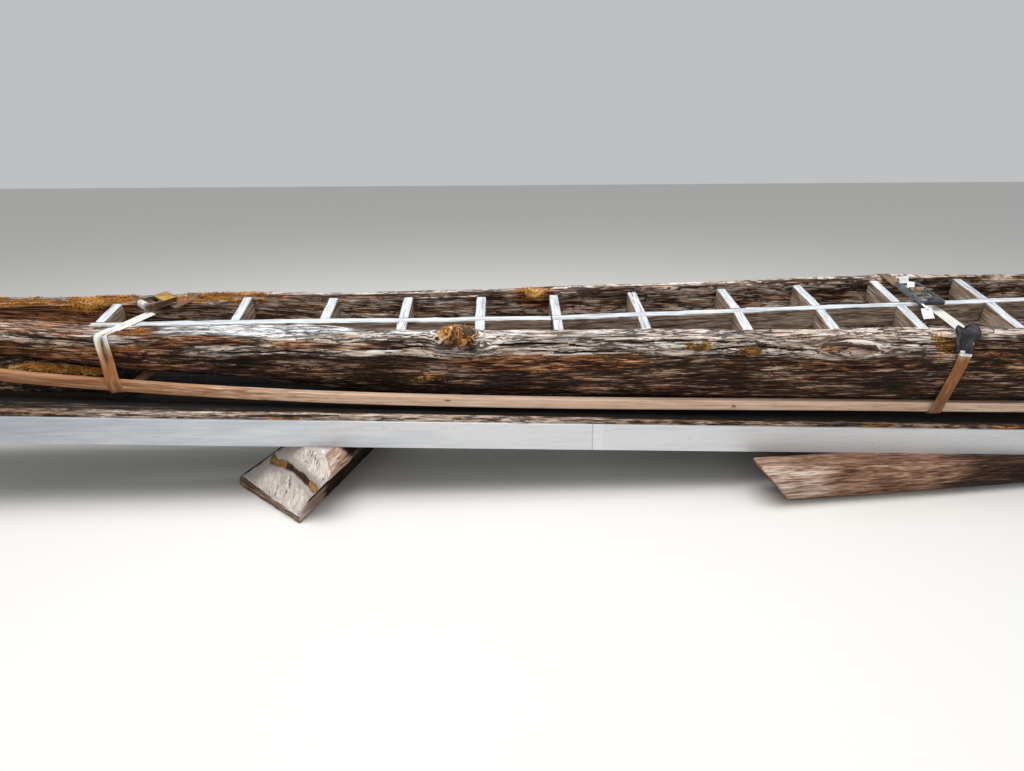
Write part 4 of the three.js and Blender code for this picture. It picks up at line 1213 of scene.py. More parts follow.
# %% Satin aluminium
def satin_aluminium():
    """Extruded aluminium, weathered: die lines, cloudy oxide, nicks and water marks."""
    made, tree, shader = blank("mill_finish_aluminium")
    place = add(tree, "ShaderNodeTexCoord").outputs["Object"]
    noises = []
    for scale, detail in (((1.2, 500, 500), 3.0), ((0.9, 9, 14), 5.0), ((7, 42, 90), 4.0)):
        at = add(tree, "ShaderNodeMapping", {"Vector": place, "Scale": scale})
        noises.append(add(tree, "ShaderNodeTexNoise", {"Vector": at, "Scale": 1.0, "Detail": detail}))
    drawn, cloud, runs = noises
    nick_at = add(tree, "ShaderNodeMapping", {"Vector": place, "Scale": (45, 90, 90)})
    nicks = add(tree, "ShaderNodeTexVoronoi", {"Vector": nick_at, "Scale": 1.0, "Randomness": 1.0})
    nick = add(tree, "ShaderNodeMapRange", {"Value": nicks.outputs["Distance"], "From Min": 0.12,
                                            "From Max": 0.06})
    seldom = add(tree, "ShaderNodeMapRange", {"Value": cloud, "From Min": 0.5, "From Max": 0.58})
    nick = add(tree, "ShaderNodeMath", {0: nick, 1: seldom}, operation="MULTIPLY")
    along_x = add(tree, "ShaderNodeSeparateXYZ", {"Vector": place}).outputs["X"]
    off = add(tree, "ShaderNodeMath", {0: along_x, 1: 0.8}, operation="SUBTRACT")
    off = add(tree, "ShaderNodeMath", {0: off}, operation="ABSOLUTE")
    clean = add(tree, "ShaderNodeMapRange", {"Value": off, "From Min": 2.9, "From Max": 1.1})
    mixed = -0.04
    for part, weight in ((runs, 0.55), (cloud, 0.7), (clean, 0.4)):
        mixed = add(tree, "ShaderNodeMath", {0: part, 1: weight, 2: mixed}, operation="MULTIPLY_ADD")
    tone = add(tree, "ShaderNodeMapRange", {"Value": mixed, "From Min": 0.4, "From Max": 1.0})
    shade = paint(tree, tone, ("#9ea2ab", "#b8bcc2", "#d2d3d4"))
    sleeve = add(tree, "ShaderNodeMath", {0: along_x, 1: 0.002, 2: 0.021}, operation="COMPARE")
    seam = add(tree, "ShaderNodeMath", {0: along_x, 1: -0.019, 2: 0.002}, operation="COMPARE")
    lighter = add(tree, "ShaderNodeMath", {0: sleeve, 1: 0.35}, operation="MULTIPLY")
    darker = add(tree, "ShaderNodeMath", {0: seam, 1: 0.5}, operation="MULTIPLY")
    for share, tint in ((lighter, "#e4e3e1"), (darker, "#77787a"), (nick, "#5f6062")):
        shade = add(tree, "ShaderNodeMix", {0: share, 6: shade, 7: colour(tint)}, data_type="RGBA")
    dull = add(tree, "ShaderNodeMapRange", {"Value": cloud, "From Min": 0.3, "From Max": 0.7,
                                            "To Min": 0.36, "To Max": 0.52})
    height = add(tree, "ShaderNodeMath", {0: nick, 1: -2.0, 2: drawn}, operation="MULTIPLY_ADD")
    dent = add(tree, "ShaderNodeBump", {"Strength": 0.15, "Distance": 0.0008, "Height": height})
    feed(tree, shader, {"Base Color": shade, "Roughness": dull, "Metallic": 0.45, "Normal": dent})
    return made


aluminium = satin_aluminium()
print("nodes in the aluminium:", len(aluminium.node_tree.nodes))

# %% [markdown]
# ### Rails and rungs
# The solids of the rails and rungs have the right shape as they are, so they stay. A weld and a
# small bevel, as modifiers, are enough to make their edges catch the light.

# %% Rails and rungs
WELD_DISTANCE, EDGE_BEVEL = 0.00005, 0.0012
aluminium_nodes = ("rail_near", "rail_far", *(f"rung_{i}" for i in range(1, 8)))
for name in aluminium_nodes:
    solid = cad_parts[name]
    solid.data.materials.clear()
    solid.data.materials.append(aluminium)
    weld = solid.modifiers.new("weld", "WELD")
    weld.merge_threshold = WELD_DISTANCE
    bevel = solid.modifiers.new("edges", "BEVEL")
    bevel.width = EDGE_BEVEL
    bevel.segments = 2
    bevel.limit_method = "ANGLE"
print("aluminium pieces:", len(aluminium_nodes))

# %% [markdown]
# ## Webbing
# Polyester webbing 50 mm wide goes round the hull, taut, so it runs straight from edge to edge. A
# cloth simulation would only find the same way. It is read from the solid: the convex outline of
# its points, and how far the band leans along the log there. The band opens under its ratchet,
# between the axle and the anchor bar.

# %% The way of a strap
def unit(rows):
    """Each vector at length one."""
    return rows / np.linalg.norm(rows, axis=-1, keepdims=True)


def run_along(points):
    """Length along a line from its first point."""
    return np.concatenate([[0], np.cumsum(np.linalg.norm(np.diff(points, axis=0), axis=1))])


def in_frame(points, matrix):
    """Points as a frame sees them."""
    inverse = np.array(matrix.inverted())
    return points @ inverse[:3, :3].T + inverse[:3, 3]


def strap_way(node, spacing=0.004):
    """Points down the middle of a strap's outer face, closed round the hull."""
    co = np.unique(np.round([v.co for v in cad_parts[node].data.vertices], 5), axis=0)
    flat = co[:, 1:]
    ring = flat[convex_hull_2d([Vector(p) for p in flat])]
    lean = [co[np.linalg.norm(flat - p, axis=1) < 8e-4, 0] for p in ring]
    corners = np.column_stack([[(x.min() + x.max()) / 2 for x in lean], ring])
    closed = np.vstack([corners, corners[:1]])
    length = run_along(closed[:, 1:])
    at = np.arange(0, length[-1], spacing)
    way = np.column_stack([np.interp(at, length, closed[:, k]) for k in range(3)])
    for _ in range(6):
        way = way * 0.5 + (np.roll(way, 1, axis=0) + np.roll(way, -1, axis=0)) * 0.25
    return way


def ratchet_matrix(x_mm, y_mm, turned, seat_mm):
    """Where a ratchet stands: on the band, in the hull's frame, turned about the upright."""
    return (HULL_PLACE @ Matrix.Translation(Vector((x_mm, y_mm, seat_mm)) * MM)
            @ Matrix.Rotation(math.radians(turned), 4, "Z"))


def opened(way, matrix, back=0.080):
    """The way without its stretch under the ratchet, from the anchor bar round to the axle."""
    local = in_frame(way, matrix)
    hidden = (local[:, 1] > 0.006) & (local[:, 1] < back) & (np.abs(local[:, 2]) < 0.05)
    start = int(np.argmax(hidden & ~np.roll(hidden, -1)))
    order = np.roll(np.arange(len(way)), -start - 1)
    return way[[i for i in order if not hidden[i]]]


RATCHET_PLACES = {"left": ratchet_matrix(-1788, 34, -42, 3.6), "right": ratchet_matrix(1356, 62, 0, 7.9)}
ways = {side: opened(strap_way(f"strap_{side}"), RATCHET_PLACES[side]) for side in ("left", "right")}
print("strap lengths:", [round(float(run_along(way)[-1]), 2) for way in ways.values()])

# %% [markdown]
# ### The weave
# The webbing is woven in a herringbone: ribs that slant one way and then the other. The strap's
# own grain value says how far along and across it a point lies, so the ribs follow it round each
# turn. Real ribs are too fine to show, so they are drawn 3 mm apart. Rain has washed rust and
# bark down the lower parts.

# %% The weave
RIB_PITCH, HERRINGBONE = 0.003, 0.0085


def webbing_material(name, fresh, worn, tan, stain):
    """Herringbone webbing: pale and dry above, rust-tan where water runs down it, darker with stains and
    painted shade.
    """
    made, tree, shader = blank(name)
    at = add(tree, "ShaderNodeAttribute", attribute_name="grain").outputs["Vector"]
    parts = add(tree, "ShaderNodeSeparateXYZ", {"Vector": at})
    aside = add(tree, "ShaderNodeMath", {0: parts.outputs["Y"]}, operation="ABSOLUTE")
    folded = add(tree, "ShaderNodeMath", {0: aside, 1: HERRINGBONE}, operation="PINGPONG")
    slant = add(tree, "ShaderNodeMath", {0: parts.outputs["X"], 1: folded}, operation="ADD")
    turns = add(tree, "ShaderNodeMath", {0: slant, 1: 2 * math.pi / RIB_PITCH}, operation="MULTIPLY")
    ribs = add(tree, "ShaderNodeMath", {0: turns}, operation="SINE")
    dirt_at = add(tree, "ShaderNodeMapping", {"Vector": at, "Scale": (11, 60, 60)})
    dirt = add(tree, "ShaderNodeTexNoise", {"Vector": dirt_at, "Scale": 1.0, "Detail": 5.0})
    old = add(tree, "ShaderNodeAttribute", attribute_name="tan").outputs["Fac"]
    spread = add(tree, "ShaderNodeMath", {0: dirt, 1: 1.5, 2: old}, operation="MULTIPLY_ADD")
    aged = add(tree, "ShaderNodeMapRange", {"Value": spread, "From Min": 0.8, "From Max": 1.75})
    shade = paint(tree, aged, (fresh, worn, tan))
    # The stain attribute holds real stains and painted shade: the crease of the left strap, and where
    # the straps go over the far gunwale.
    dark = add(tree, "ShaderNodeAttribute", attribute_name="stain").outputs["Fac"]
    deep = add(tree, "ShaderNodeMath", {0: dark, 1: dirt}, operation="MULTIPLY")
    deep = add(tree, "ShaderNodeMath", {0: deep, 1: 1.7}, operation="MULTIPLY", use_clamp=True)
    shade = add(tree, "ShaderNodeMix", {0: deep, 6: shade, 7: colour(stain)}, data_type="RGBA")
    shadow = add(tree, "ShaderNodeMapRange", {"Value": ribs, "From Min": -1.0, "From Max": 1.0,
                                              "To Min": 0.8, "To Max": 1.0})
    shade = add(tree, "ShaderNodeVectorMath", {0: shade.outputs[2], "Scale": shadow}, operation="SCALE")
    dent = add(tree, "ShaderNodeBump", {"Strength": 0.5, "Distance": 0.0006, "Height": ribs})
    feed(tree, shader, {"Base Color": shade, "Roughness": 0.85, "Sheen Weight": 0.15, "Normal": dent})
    return made


webbing = webbing_material("polyester_webbing", "#dfded9", "#b79b75", "#93571f", "#3e2614")
print("nodes in the webbing:", len(webbing.node_tree.nodes))

# %% [markdown]
# ### The straps
# A band is a thin flat section, pulled along the strap's way and turned so that it lies on the
# log. Where it comes over the near gunwale, the left strap is creased into two lobes, so there the
# section's middle is pressed in.

# %% The straps
WEBBING_HALF, WEBBING_HALF_THICK, WEBBING_SUNK, CREASE = 0.0245, 0.0011, 0.0015, 0.012


def strap_axes(way):
    """Across and outward directions at each point of a way."""
    ahead = unit(np.gradient(way, axis=0))
    centre = way[:, 1:].mean(axis=0)
    out = unit(np.column_stack([0 * ahead[:, 0], ahead[:, 2], -ahead[:, 1]]))
    out *= np.sign(((way[:, 1:] - centre) * out[:, 1:]).sum(axis=1).mean())
    across = unit(np.cross(ahead, out))
    across *= np.sign(across[:, :1])
    return across, out


def strap(side, crease, tan, stain):
    """The band of one side. Crease, tan and stain are functions of where a point lies."""
    way = ways[side]
    across, out = strap_axes(way)
    u = np.linspace(-1, 1, 15)
    top = np.column_stack([u, np.full(15, 1.0)])
    section = np.vstack([top, top[::-1] * (1, -1)])
    run = run_along(way)
    lift = crease(way)[:, None] * (np.abs(section[None, :, 0]) - 0.35) * CREASE
    places = np.stack([way[:, :1] + 0 * section[:, 0], run[:, None] + 0 * section[:, 0],
                       section[None, :, 0] + 0 * way[:, :1]], axis=-1)
    lift += rough(places, (1, 0.06, 0.6), 77, 2) * 0.0007
    rings = (way[:, None] + across[:, None] * section[None, :, :1] * WEBBING_HALF
             + out[:, None] * (section[None, :, 1:] * WEBBING_HALF_THICK - WEBBING_SUNK
                               + lift[..., None]))
    grain = np.stack([run[:, None] + 0 * lift, section[None, :, 0] * 0.025 + 0 * lift, 0 * lift],
                     axis=-1)
    points, grain, faces = loft(rings, grain, caps=(0.5,))
    return piece(f"strap_{side}_webbing", points, faces, webbing, "strap_webbing", (f"strap_{side}",),
                 grain=grain, tan=tan(points, grain), stain=stain(points, grain))


def left_crease(way):
    return np.exp(-((way[:, 2] - 0.572) / 0.045) ** 2) * (way[:, 1] < 0)


def left_tan_and_shade(points, grain):
    """Rust-tan where rain runs down the near side, and tan as painted shade where the strap leaves over
    the far gunwale.
    """
    return np.maximum(ease(0.60, 0.50, points[:, 2]), 0.9 * ease(0.15, 0.19, points[:, 1]))


def left_stain(points, grain):
    """Painted shade: dark between the lobes of the crease and at the far end; a little darker low down.
    """
    crease_shade = np.exp(-(grain[:, 1] / 0.006) ** 2) * np.exp(-((points[:, 2] - 0.55) / 0.045) ** 2)
    below = 0.25 * ease(0.5, 0.42, points[:, 2])
    far_end_shade = 0.9 * ease(0.15, 0.19, points[:, 1])
    return np.clip(crease_shade * 2.2 * (points[:, 1] < 0) + below + far_end_shade, 0, 1)


# Rust-tan low down, and tan as painted shade where the strap goes over the far gunwale.
def right_tan_and_shade(points, grain):
    return np.maximum(ease(0.56, 0.49, points[:, 2]), 0.85 * ease(0.12, 0.2, points[:, 1]))


# Darker low down, and darker as painted shade where the strap goes over the far gunwale.
def right_stain(points, grain):
    return 0.35 * ease(0.45, 0.32, points[:, 2]) + 0.7 * ease(0.12, 0.2, points[:, 1])


strap("left", left_crease, left_tan_and_shade, left_stain)
strap("right", lambda way: 0 * way[:, 0], right_tan_and_shade, right_stain)

# %% [markdown]
# ## Ratchets
# Each ratchet is pressed from steel: a frame of two side plates, a slotted axle with toothed
# wheels at both ends, an anchor bar, and a handle with a sprung pawl and a grip. Boxes, cylinders
# and booleans could make them. Here each part is an outline, pulled through a thickness with a
# small chamfer, which keeps the edges clean.

# %% Plates and bars
def inset(outline, distance):
    """Moves a closed outline inwards by a distance."""
    before, after = np.roll(outline, 1, axis=0), np.roll(outline, -1, axis=0)
    a, b = unit(outline - before), unit(after - outline)
    normal = np.column_stack([-(a + b)[:, 1], (a + b)[:, 0]])
    stretch = np.maximum(1 + (a * b).sum(axis=1, keepdims=True), 0.3)
    return outline + normal / stretch * distance


def slab(outline, start, end, axis=0, chamfer=0.6):
    """An outline, counterclockwise, pulled from start to end along an axis, in millimetres."""
    outline = np.array(outline, float)
    small = inset(outline, chamfer)
    layers = [(small, start), (outline, start + chamfer), (outline, end - chamfer), (small, end)]
    flat = np.array([np.column_stack([np.full(len(o), at), o]) for o, at in layers])
    flat = np.roll(flat, axis, axis=2)
    count = len(outline)
    faces = [list(f) for k in range(3) for f in strip(k * count, (k + 1) * count, count)]
    faces += [list(range(count))[::-1], list(range(3 * count, 4 * count))]
    points = flat.reshape(-1, 3) * MM
    return points, points, faces


def circle(radius, y=0.0, z=0.0, steps=28):
    turn = np.linspace(0, 2 * math.pi, steps, endpoint=False)
    return np.column_stack([y + radius * np.cos(turn), z + radius * np.sin(turn)])


print("points in a short bar:", len(slab(circle(5), 0, 10)[0]))

# %% [markdown]
# ### Wheels, coils and springs
# A wheel's teeth are raked, so that the pawl slips over them one way and locks the other. Webbing
# wound on the axle is a flat band on a spiral, and a spring is a thin wire on a helix.

# %% Wheels, coils and springs
def toothed(inner, outer, teeth, y, z):
    """A wheel's outline with raked teeth."""
    marks = []
    for i in range(teeth):
        for share, radius in ((0, outer), (0.18, outer), (0.3, inner), (0.85, (inner + outer) / 2)):
            turn = (i + share) / teeth * 2 * math.pi
            marks.append((y + radius * math.cos(turn), z + radius * math.sin(turn)))
    return marks


def spiral(y, z, inner, turns, wide, thick=1.9):
    """Webbing wound on an axle, its loose end tucked in."""
    t = np.linspace(0, turns * 2 * math.pi, int(turns * 30))
    radius = inner + t / (2 * math.pi) * (thick + 0.35)
    line = np.column_stack([y + radius * np.cos(t), z + radius * np.sin(t)])
    normal = np.column_stack([np.cos(t), np.sin(t)])
    across = np.linspace(-wide / 2, wide / 2, 9)
    x = np.concatenate([across, across[::-1]])
    side = np.concatenate([np.full(9, thick / 2), np.full(9, -thick / 2)])
    rings = np.zeros((len(t), 18, 3))
    rings[..., 0] = x[None] + np.sin(t * 0.8)[:, None] * 0.8
    rings[..., 1:] = line[:, None] + normal[:, None] * side[None, :, None]
    run = np.cumsum(radius) * (t[1] - t[0])
    along, aside = run[:, None] + 0 * x, x[None] + 0 * run[:, None]
    return loft(rings * MM, np.stack([along, aside, 0 * along], axis=-1) * MM, caps=(0.5,))


def spring(x, y0, y1, z, radius, turns):
    """A small coil spring along y."""
    t = np.linspace(0, 1, turns * 14)
    turn = t * turns * 2 * math.pi
    line = np.column_stack([x + radius * np.cos(turn), y0 + (y1 - y0) * t, z + radius * np.sin(turn)])
    ahead = unit(np.gradient(line, axis=0))
    side = unit(np.cross(ahead, (0, 1, 0)))
    up = np.cross(side, ahead)
    ring = np.linspace(0, 2 * math.pi, 7)[:-1]
    rings = line[:, None] + (side[:, None] * np.cos(ring)[None, :, None]
                             + up[:, None] * np.sin(ring)[None, :, None]) * 0.8
    return loft(rings * MM, rings * MM, caps=(0.5,))


print("points in a spring:", len(spring(0, 0, 28, 0, 3.4, 9)[0]))

# %% [markdown]
# ### Steel, zinc and grips
# Cheap ratchets are zinc plated and then passivated, clear or yellow. Outdoors the plating goes
# dull and rust blooms in blotches. The grips are dark moulded plastic.

# %% Steel, zinc and grips
def plated(name, tones, rust, rust_share, metallic=0.9, roughness=0.42):
    """Pressed steel with worn plating: cloudy tone, fine scratches, blooms of rust."""
    made, tree, shader = blank(name)
    place = add(tree, "ShaderNodeTexCoord").outputs["Object"]
    cloud = add(tree, "ShaderNodeTexNoise", {"Vector": place, "Scale": 42.0, "Detail": 5.0})
    bloom = add(tree, "ShaderNodeTexNoise", {"Vector": place, "Scale": 26.0, "Detail": 6.0,
                                             "Roughness": 0.7, "Distortion": 0.4})
    tone = add(tree, "ShaderNodeMapRange", {"Value": cloud, "From Min": 0.3, "From Max": 0.7})
    shade = paint(tree, tone, tones)
    spot = add(tree, "ShaderNodeMapRange", {"Value": bloom, "From Min": 0.72 - rust_share,
                                            "From Max": 0.80 - rust_share})
    shade = add(tree, "ShaderNodeMix", {0: spot, 6: shade, 7: colour(rust)}, data_type="RGBA")
    dull = add(tree, "ShaderNodeMapRange", {"Value": spot, "To Min": roughness, "To Max": 0.9})
    bare = add(tree, "ShaderNodeMapRange", {"Value": spot, "To Min": metallic, "To Max": 0.0})
    scratch_at = add(tree, "ShaderNodeMapping", {"Vector": place, "Scale": (900, 120, 120)})
    scratch = add(tree, "ShaderNodeTexNoise", {"Vector": scratch_at, "Scale": 1.0, "Detail": 2.0})
    dent = add(tree, "ShaderNodeBump", {"Strength": 0.2, "Distance": 0.0004, "Height": scratch})
    feed(tree, shader, {"Base Color": shade, "Roughness": dull, "Metallic": bare, "Normal": dent})
    return made


zinc_steel = plated("zinc_plated_steel", ("#62666a", "#84888c", "#a4a7aa"), "#8a5a38", 0.14)
yellow_zinc = plated("yellow_passivated_zinc", ("#a87f34", "#c99e4a", "#e3c274"), "#7a5228", 0.08,
                     metallic=0.75, roughness=0.38)
rusty_zinc = plated("rusted_zinc_plate", ("#5c3a24", "#86583a", "#a87850"), "#6e3a1c", 0.5,
                    metallic=0.5, roughness=0.6)
worn_zinc = plated("worn_yellow_zinc", ("#4c3820", "#6f5429", "#947238"), "#4e3018", 0.3,
                   metallic=0.7, roughness=0.5)


def moulded(name, tones, roughness):
    """Moulded plastic or rubber: fine grain, chalky where the sun has been."""
    made, tree, shader = blank(name)
    place = add(tree, "ShaderNodeTexCoord").outputs["Object"]
    cloud = add(tree, "ShaderNodeTexNoise", {"Vector": place, "Scale": 55.0, "Detail": 5.0})
    grit = add(tree, "ShaderNodeTexNoise", {"Vector": place, "Scale": 900.0, "Detail": 2.0})
    tone = add(tree, "ShaderNodeMapRange", {"Value": cloud, "From Min": 0.35, "From Max": 0.7})
    shade = paint(tree, tone, tones)
    dull = add(tree, "ShaderNodeMapRange", {"Value": cloud, "To Min": roughness - 0.12,
                                            "To Max": roughness + 0.12})
    dent = add(tree, "ShaderNodeBump", {"Strength": 0.25, "Distance": 0.0005, "Height": grit})
    feed(tree, shader, {"Base Color": shade, "Roughness": dull, "Normal": dent})
    return made


grip_plastic = moulded("blue_black_grip_plastic", ("#141a26", "#232c3a", "#3b4656"), 0.5)
pad_rubber = moulded("black_rubber_sheet", ("#07060a", "#111015", "#2b2930"), 0.6)
print("nodes in the plated steel:", len(zinc_steel.node_tree.nodes))

# %% [markdown]
# ### The frame and the handle
# All lengths here are millimetres in the ratchet's own frame: x across the webbing, y along it
# and z away from the wood. The handle's parts are drawn with the handle lying along -y.

# %% The frame and the handle
AXLE_Z, FRAME_HALF, PLATE, BAR_HALF, GRIP_HALF = 18.3, 38.0, 3.0, 39, 40.6
ANCHOR = (82, AXLE_Z - 4)
WHEELS = (34.5, 37.4)
BOLT_HEADS = (FRAME_HALF + PLATE, FRAME_HALF + PLATE + 2.2)
ARMS = (FRAME_HALF + PLATE + 0.3, FRAME_HALF + 2 * PLATE + 0.3)
RIVET_HEADS = (ARMS[1], FRAME_HALF + 2 * PLATE + 2.2)


def one_side(sign, outline, near, far, chamfer=0.6):
    """A slab on one side of the middle, between two distances from it."""
    low, high = sorted((sign * near, sign * far))
    return slab(outline, low, high, chamfer=chamfer)


def frame_parts():
    """Side plates, slotted axle with its wheels, anchor bar with its collars."""
    plate = [(-14, 9), (-8, 3), (90, 3), (96, 11), (88, 26), (14, 34), (-4, 34), (-14, 26)]
    parts = []
    for sign in (-1, 1):
        parts.append(one_side(sign, plate, FRAME_HALF, FRAME_HALF + PLATE))
        parts.append(one_side(sign, toothed(13, 17.5, 11, 0, AXLE_Z), *WHEELS, chamfer=0.4))
        for y, z, radius in ((0, AXLE_Z, 6.5), (*ANCHOR, 5), (60, AXLE_Z - 2, 2.6)):
            parts.append(one_side(sign, circle(radius, y, z, 20), *BOLT_HEADS, chamfer=0.7))
    axle = circle(7.6, 0, AXLE_Z, 32)
    upper, lower = axle[axle[:, 1] > AXLE_Z + 0.9], axle[axle[:, 1] < AXLE_Z - 0.9]
    for outline in (upper, lower, circle(5.6, *ANCHOR)):
        parts.append(slab(outline, -BAR_HALF, BAR_HALF, chamfer=0.4))
    floor_plate = [(52, 3), (70, 3), (70, 5.5), (52, 5.5)]
    return parts + [slab(floor_plate, -FRAME_HALF, FRAME_HALF, chamfer=0.4)]


def handle_parts(arm):
    """Arms, rivets and springs at both sides, and between them the pawl plate and its catch."""
    side = [(-arm, -9), (8, -9), (14, 0), (8, 9), (-arm, 9), (-arm - 6, 0)]
    pawl = [(-44, -1.6), (-20, -1.6), (-17, 0), (-20, 1.6), (-44, 1.6)]
    catch = [(-76, -1.4), (-71, -6), (-70, -5), (-73, 1.4)]
    parts = []
    for sign in (-1, 1):
        parts.append(one_side(sign, side, *ARMS))
        parts.append(one_side(sign, circle(7, 0, 0, 6), *RIVET_HEADS, chamfer=0.7))
        parts.append(one_side(sign, circle(4, -arm, 0, 20), *RIVET_HEADS, chamfer=0.7))
        parts.append(spring(sign * 30, -44, -72, 0, 3.4, 9))
    parts.append(slab(pawl, -GRIP_HALF, GRIP_HALF, chamfer=0.4))
    return parts + [slab(catch, -GRIP_HALF, GRIP_HALF, chamfer=0.3)]


print("parts of a frame and of a handle:", len(frame_parts()), len(handle_parts(112)))

# %% [markdown]
# ### The grip and the cover
# The grip is a round bar with thirteen ribs, between the ends of the arms. The left handle also
# has a pressed web of yellow zinc, whose far edge is folded into a lip.

# %% The grip and the cover
RIB_HALF = 1.7


def grip_parts(arm):
    """A ribbed grip between the arms' ends."""
    bar = slab(circle(8.6, -arm, 0, 32), -GRIP_HALF, GRIP_HALF, chamfer=1.6)
    ribs = [slab(circle(10, -arm, 0, 32), x - RIB_HALF, x + RIB_HALF, chamfer=1.0)
            for x in np.arange(-36, 37, 6.0)]
    return [bar] + ribs


def cover_parts(arm):
    """The pressed web of a handle and its lip."""
    sheet = [(-GRIP_HALF, -arm - 2), (GRIP_HALF, -arm - 2), (GRIP_HALF, -66), (26, -60), (-26, -60),
             (-GRIP_HALF, -66)]
    lip = [(-arm - 4, -9), (-arm - 1.5, -9), (-arm - 1.5, 6), (-arm - 4, 6)]
    return [slab(sheet, -9.5, -7.3, axis=2, chamfer=0.5), slab(lip, -42, 42, chamfer=0.5)]


print("parts of a grip:", len(grip_parts(112)))

# %% [markdown]
# ### Both ratchets in place
# The left handle is folded over its frame, and its zinc is yellow. The right one is longer and
# stands open, with a rusted plate between its arms.

# %% Both ratchets in place
def set_piece(name, parts, matrix, finish, slot, nodes=(), **values):
    """One piece of several parts, with the same value of an attribute all over it."""
    points, grain, faces = joined(parts)
    extra = {key: np.full(len(points), value) for key, value in values.items()}
    return piece(name, placed(points, matrix), faces, finish, slot, nodes, sharp=35, grain=grain,
                 **extra)


RATCHETS = {
    # swing in degrees, arm in millimetres, finish and slot of the arms, tan and stain of the webbing
    "left": (179, 112, worn_zinc, "ratchet_yellow", 0.1, 0.1),
    "right": (4, 138, zinc_steel, "ratchet_steel", 0.5, 0.6),
}
RUSTED_PLATE_MM = ((2, 10), (GRIP_HALF, 10), (GRIP_HALF, 46), (14, 46))
for side, (swing, arm, arm_finish, arm_slot, tan, stain) in RATCHETS.items():
    base = RATCHET_PLACES[side]
    axle_place = Matrix.Translation((0, 0, AXLE_Z * MM))
    turned = base @ axle_place @ Matrix.Rotation(math.radians(-swing), 4, "X")
    set_piece(f"ratchet_{side}_plates", frame_parts(), base, zinc_steel, "ratchet_steel",
              (f"ratchet_{side}_frame",))
    set_piece(f"ratchet_{side}_arms", handle_parts(arm), turned, arm_finish, arm_slot,
              (f"ratchet_{side}_handle",))
    set_piece(f"ratchet_{side}_grip", grip_parts(arm), turned, grip_plastic, "ratchet_dark")
    if side == "left":
        set_piece("ratchet_left_cover", cover_parts(arm), turned, yellow_zinc, "ratchet_yellow")
    wound = spiral(0, AXLE_Z, 8.8, 3.4, 50)
    set_piece(f"ratchet_{side}_wound", [wound], base, webbing, "strap_webbing",
              (f"ratchet_{side}_webbing",), tan=tan, stain=stain)
    if side == "right":
        plate = slab([(x, -arm + y) for x, y in RUSTED_PLATE_MM], -5, -3, axis=2, chamfer=0.4)
        set_piece("ratchet_right_plate", [plate], turned, rusty_zinc, "ratchet_steel")

# %% [markdown]
# ## The edge pad
# A sheet of black rubber is folded round the right strap where it bears on the near gunwale. It
# goes under the strap, turns up in a U at the left and comes back over it, with a fat fold at the
# right. Cloth simulation would make a softer fold than rubber has, so its section is drawn as a
# line with a thickness, and it follows the strap's way over the edge.

# %% The edge pad
PAD_SECTION_MM = np.array([
    # across, height above the wood
    [32, 1.8], [16, 1.8], [-12, 1.8], [-28, 2.0], [-36, 4.5], [-39, 9], [-37, 16], [-30, 20],
    [-24, 17], [-20, 12], [-14, 10.5], [0, 10.5], [12, 11], [22, 14], [32, 21], [41, 23], [45, 16],
    [38, 9], [28, 7]])
PAD_HALF_THICK, PAD_SUNK, PAD_LIMITS, CRUMPLE = 1.5, 7.6, (-0.256, -0.06), 0.0022


def smooth_line(points, count):
    """A curve through points, evenly spaced, on a Catmull-Rom path."""
    padded = np.vstack([2 * points[0] - points[1], points, 2 * points[-1] - points[-2]])
    t = np.linspace(0, len(points) - 1 - 1e-6, count)
    i = t.astype(int)
    f = (t - i)[:, None]
    a, b, c, d = (padded[i + k] for k in range(4))
    return 0.5 * (2 * b + (c - a) * f + (2 * a - 5 * b + 4 * c - d) * f ** 2
                  + (3 * b - a - 3 * c + d) * f ** 3)


def thick_line(line, half):
    """A closed outline round a line, half a thickness to each side."""
    ahead = unit(np.gradient(line, axis=0))
    normal = np.column_stack([-ahead[:, 1], ahead[:, 0]])
    return np.vstack([line + normal * half, (line - normal * half)[::-1]])


way = ways["right"]
local = in_frame(way, HULL_PLACE)
covered = (local[:, 1] < PAD_LIMITS[0]) & (local[:, 2] > PAD_LIMITS[1])
pad_way = way[covered]
first_is_lower = local[covered][0, 2] < local[covered][-1, 2]
pad_across, pad_out = (axis[covered] for axis in strap_axes(way))
pad_outline = thick_line(smooth_line(PAD_SECTION_MM, 60), PAD_HALF_THICK)
t = np.linspace(0, 1, len(pad_way))[:, None]
bulge = 1 + 0.35 * np.sin(t * 7 + 1) * ease(10, 40, np.abs(pad_outline[None, :, 0]))
down = 1 - t if first_is_lower else t
lower = ease(0.42, 0.66, down)
narrow, aside = 1 - 0.28 * lower - 0.3 * ease(0.22, 0.0, down), -17 * lower
rings = (pad_way[:, None]
         + pad_across[:, None] * ((pad_outline[None, :, :1] * narrow[..., None] + aside[..., None]) * MM)
         + pad_out[:, None] * ((pad_outline[None, :, 1:] * bulge[..., None] - PAD_SUNK) * MM))
crumple = rough(rings, (0.022, 0.022, 0.03), 88, 3) * CRUMPLE
rings += pad_out[:, None] * crumple[..., None] * ease(6, 12, pad_outline[None, :, 1])[..., None]
points, grain, faces = loft(rings, rings, caps=())
piece("edge_pad_folded", points, faces, pad_rubber, "edge_rubber", ("edge_pad",), sharp=60, grain=grain)

# %% [markdown]
# ### Its pale lining and the bare tags
# The lining is a narrow sheet that looks out under the pad's lower end. The tags hang from the
# right ratchet. Each is a thin sheet of vinyl with a bend along it, and they carry no words.

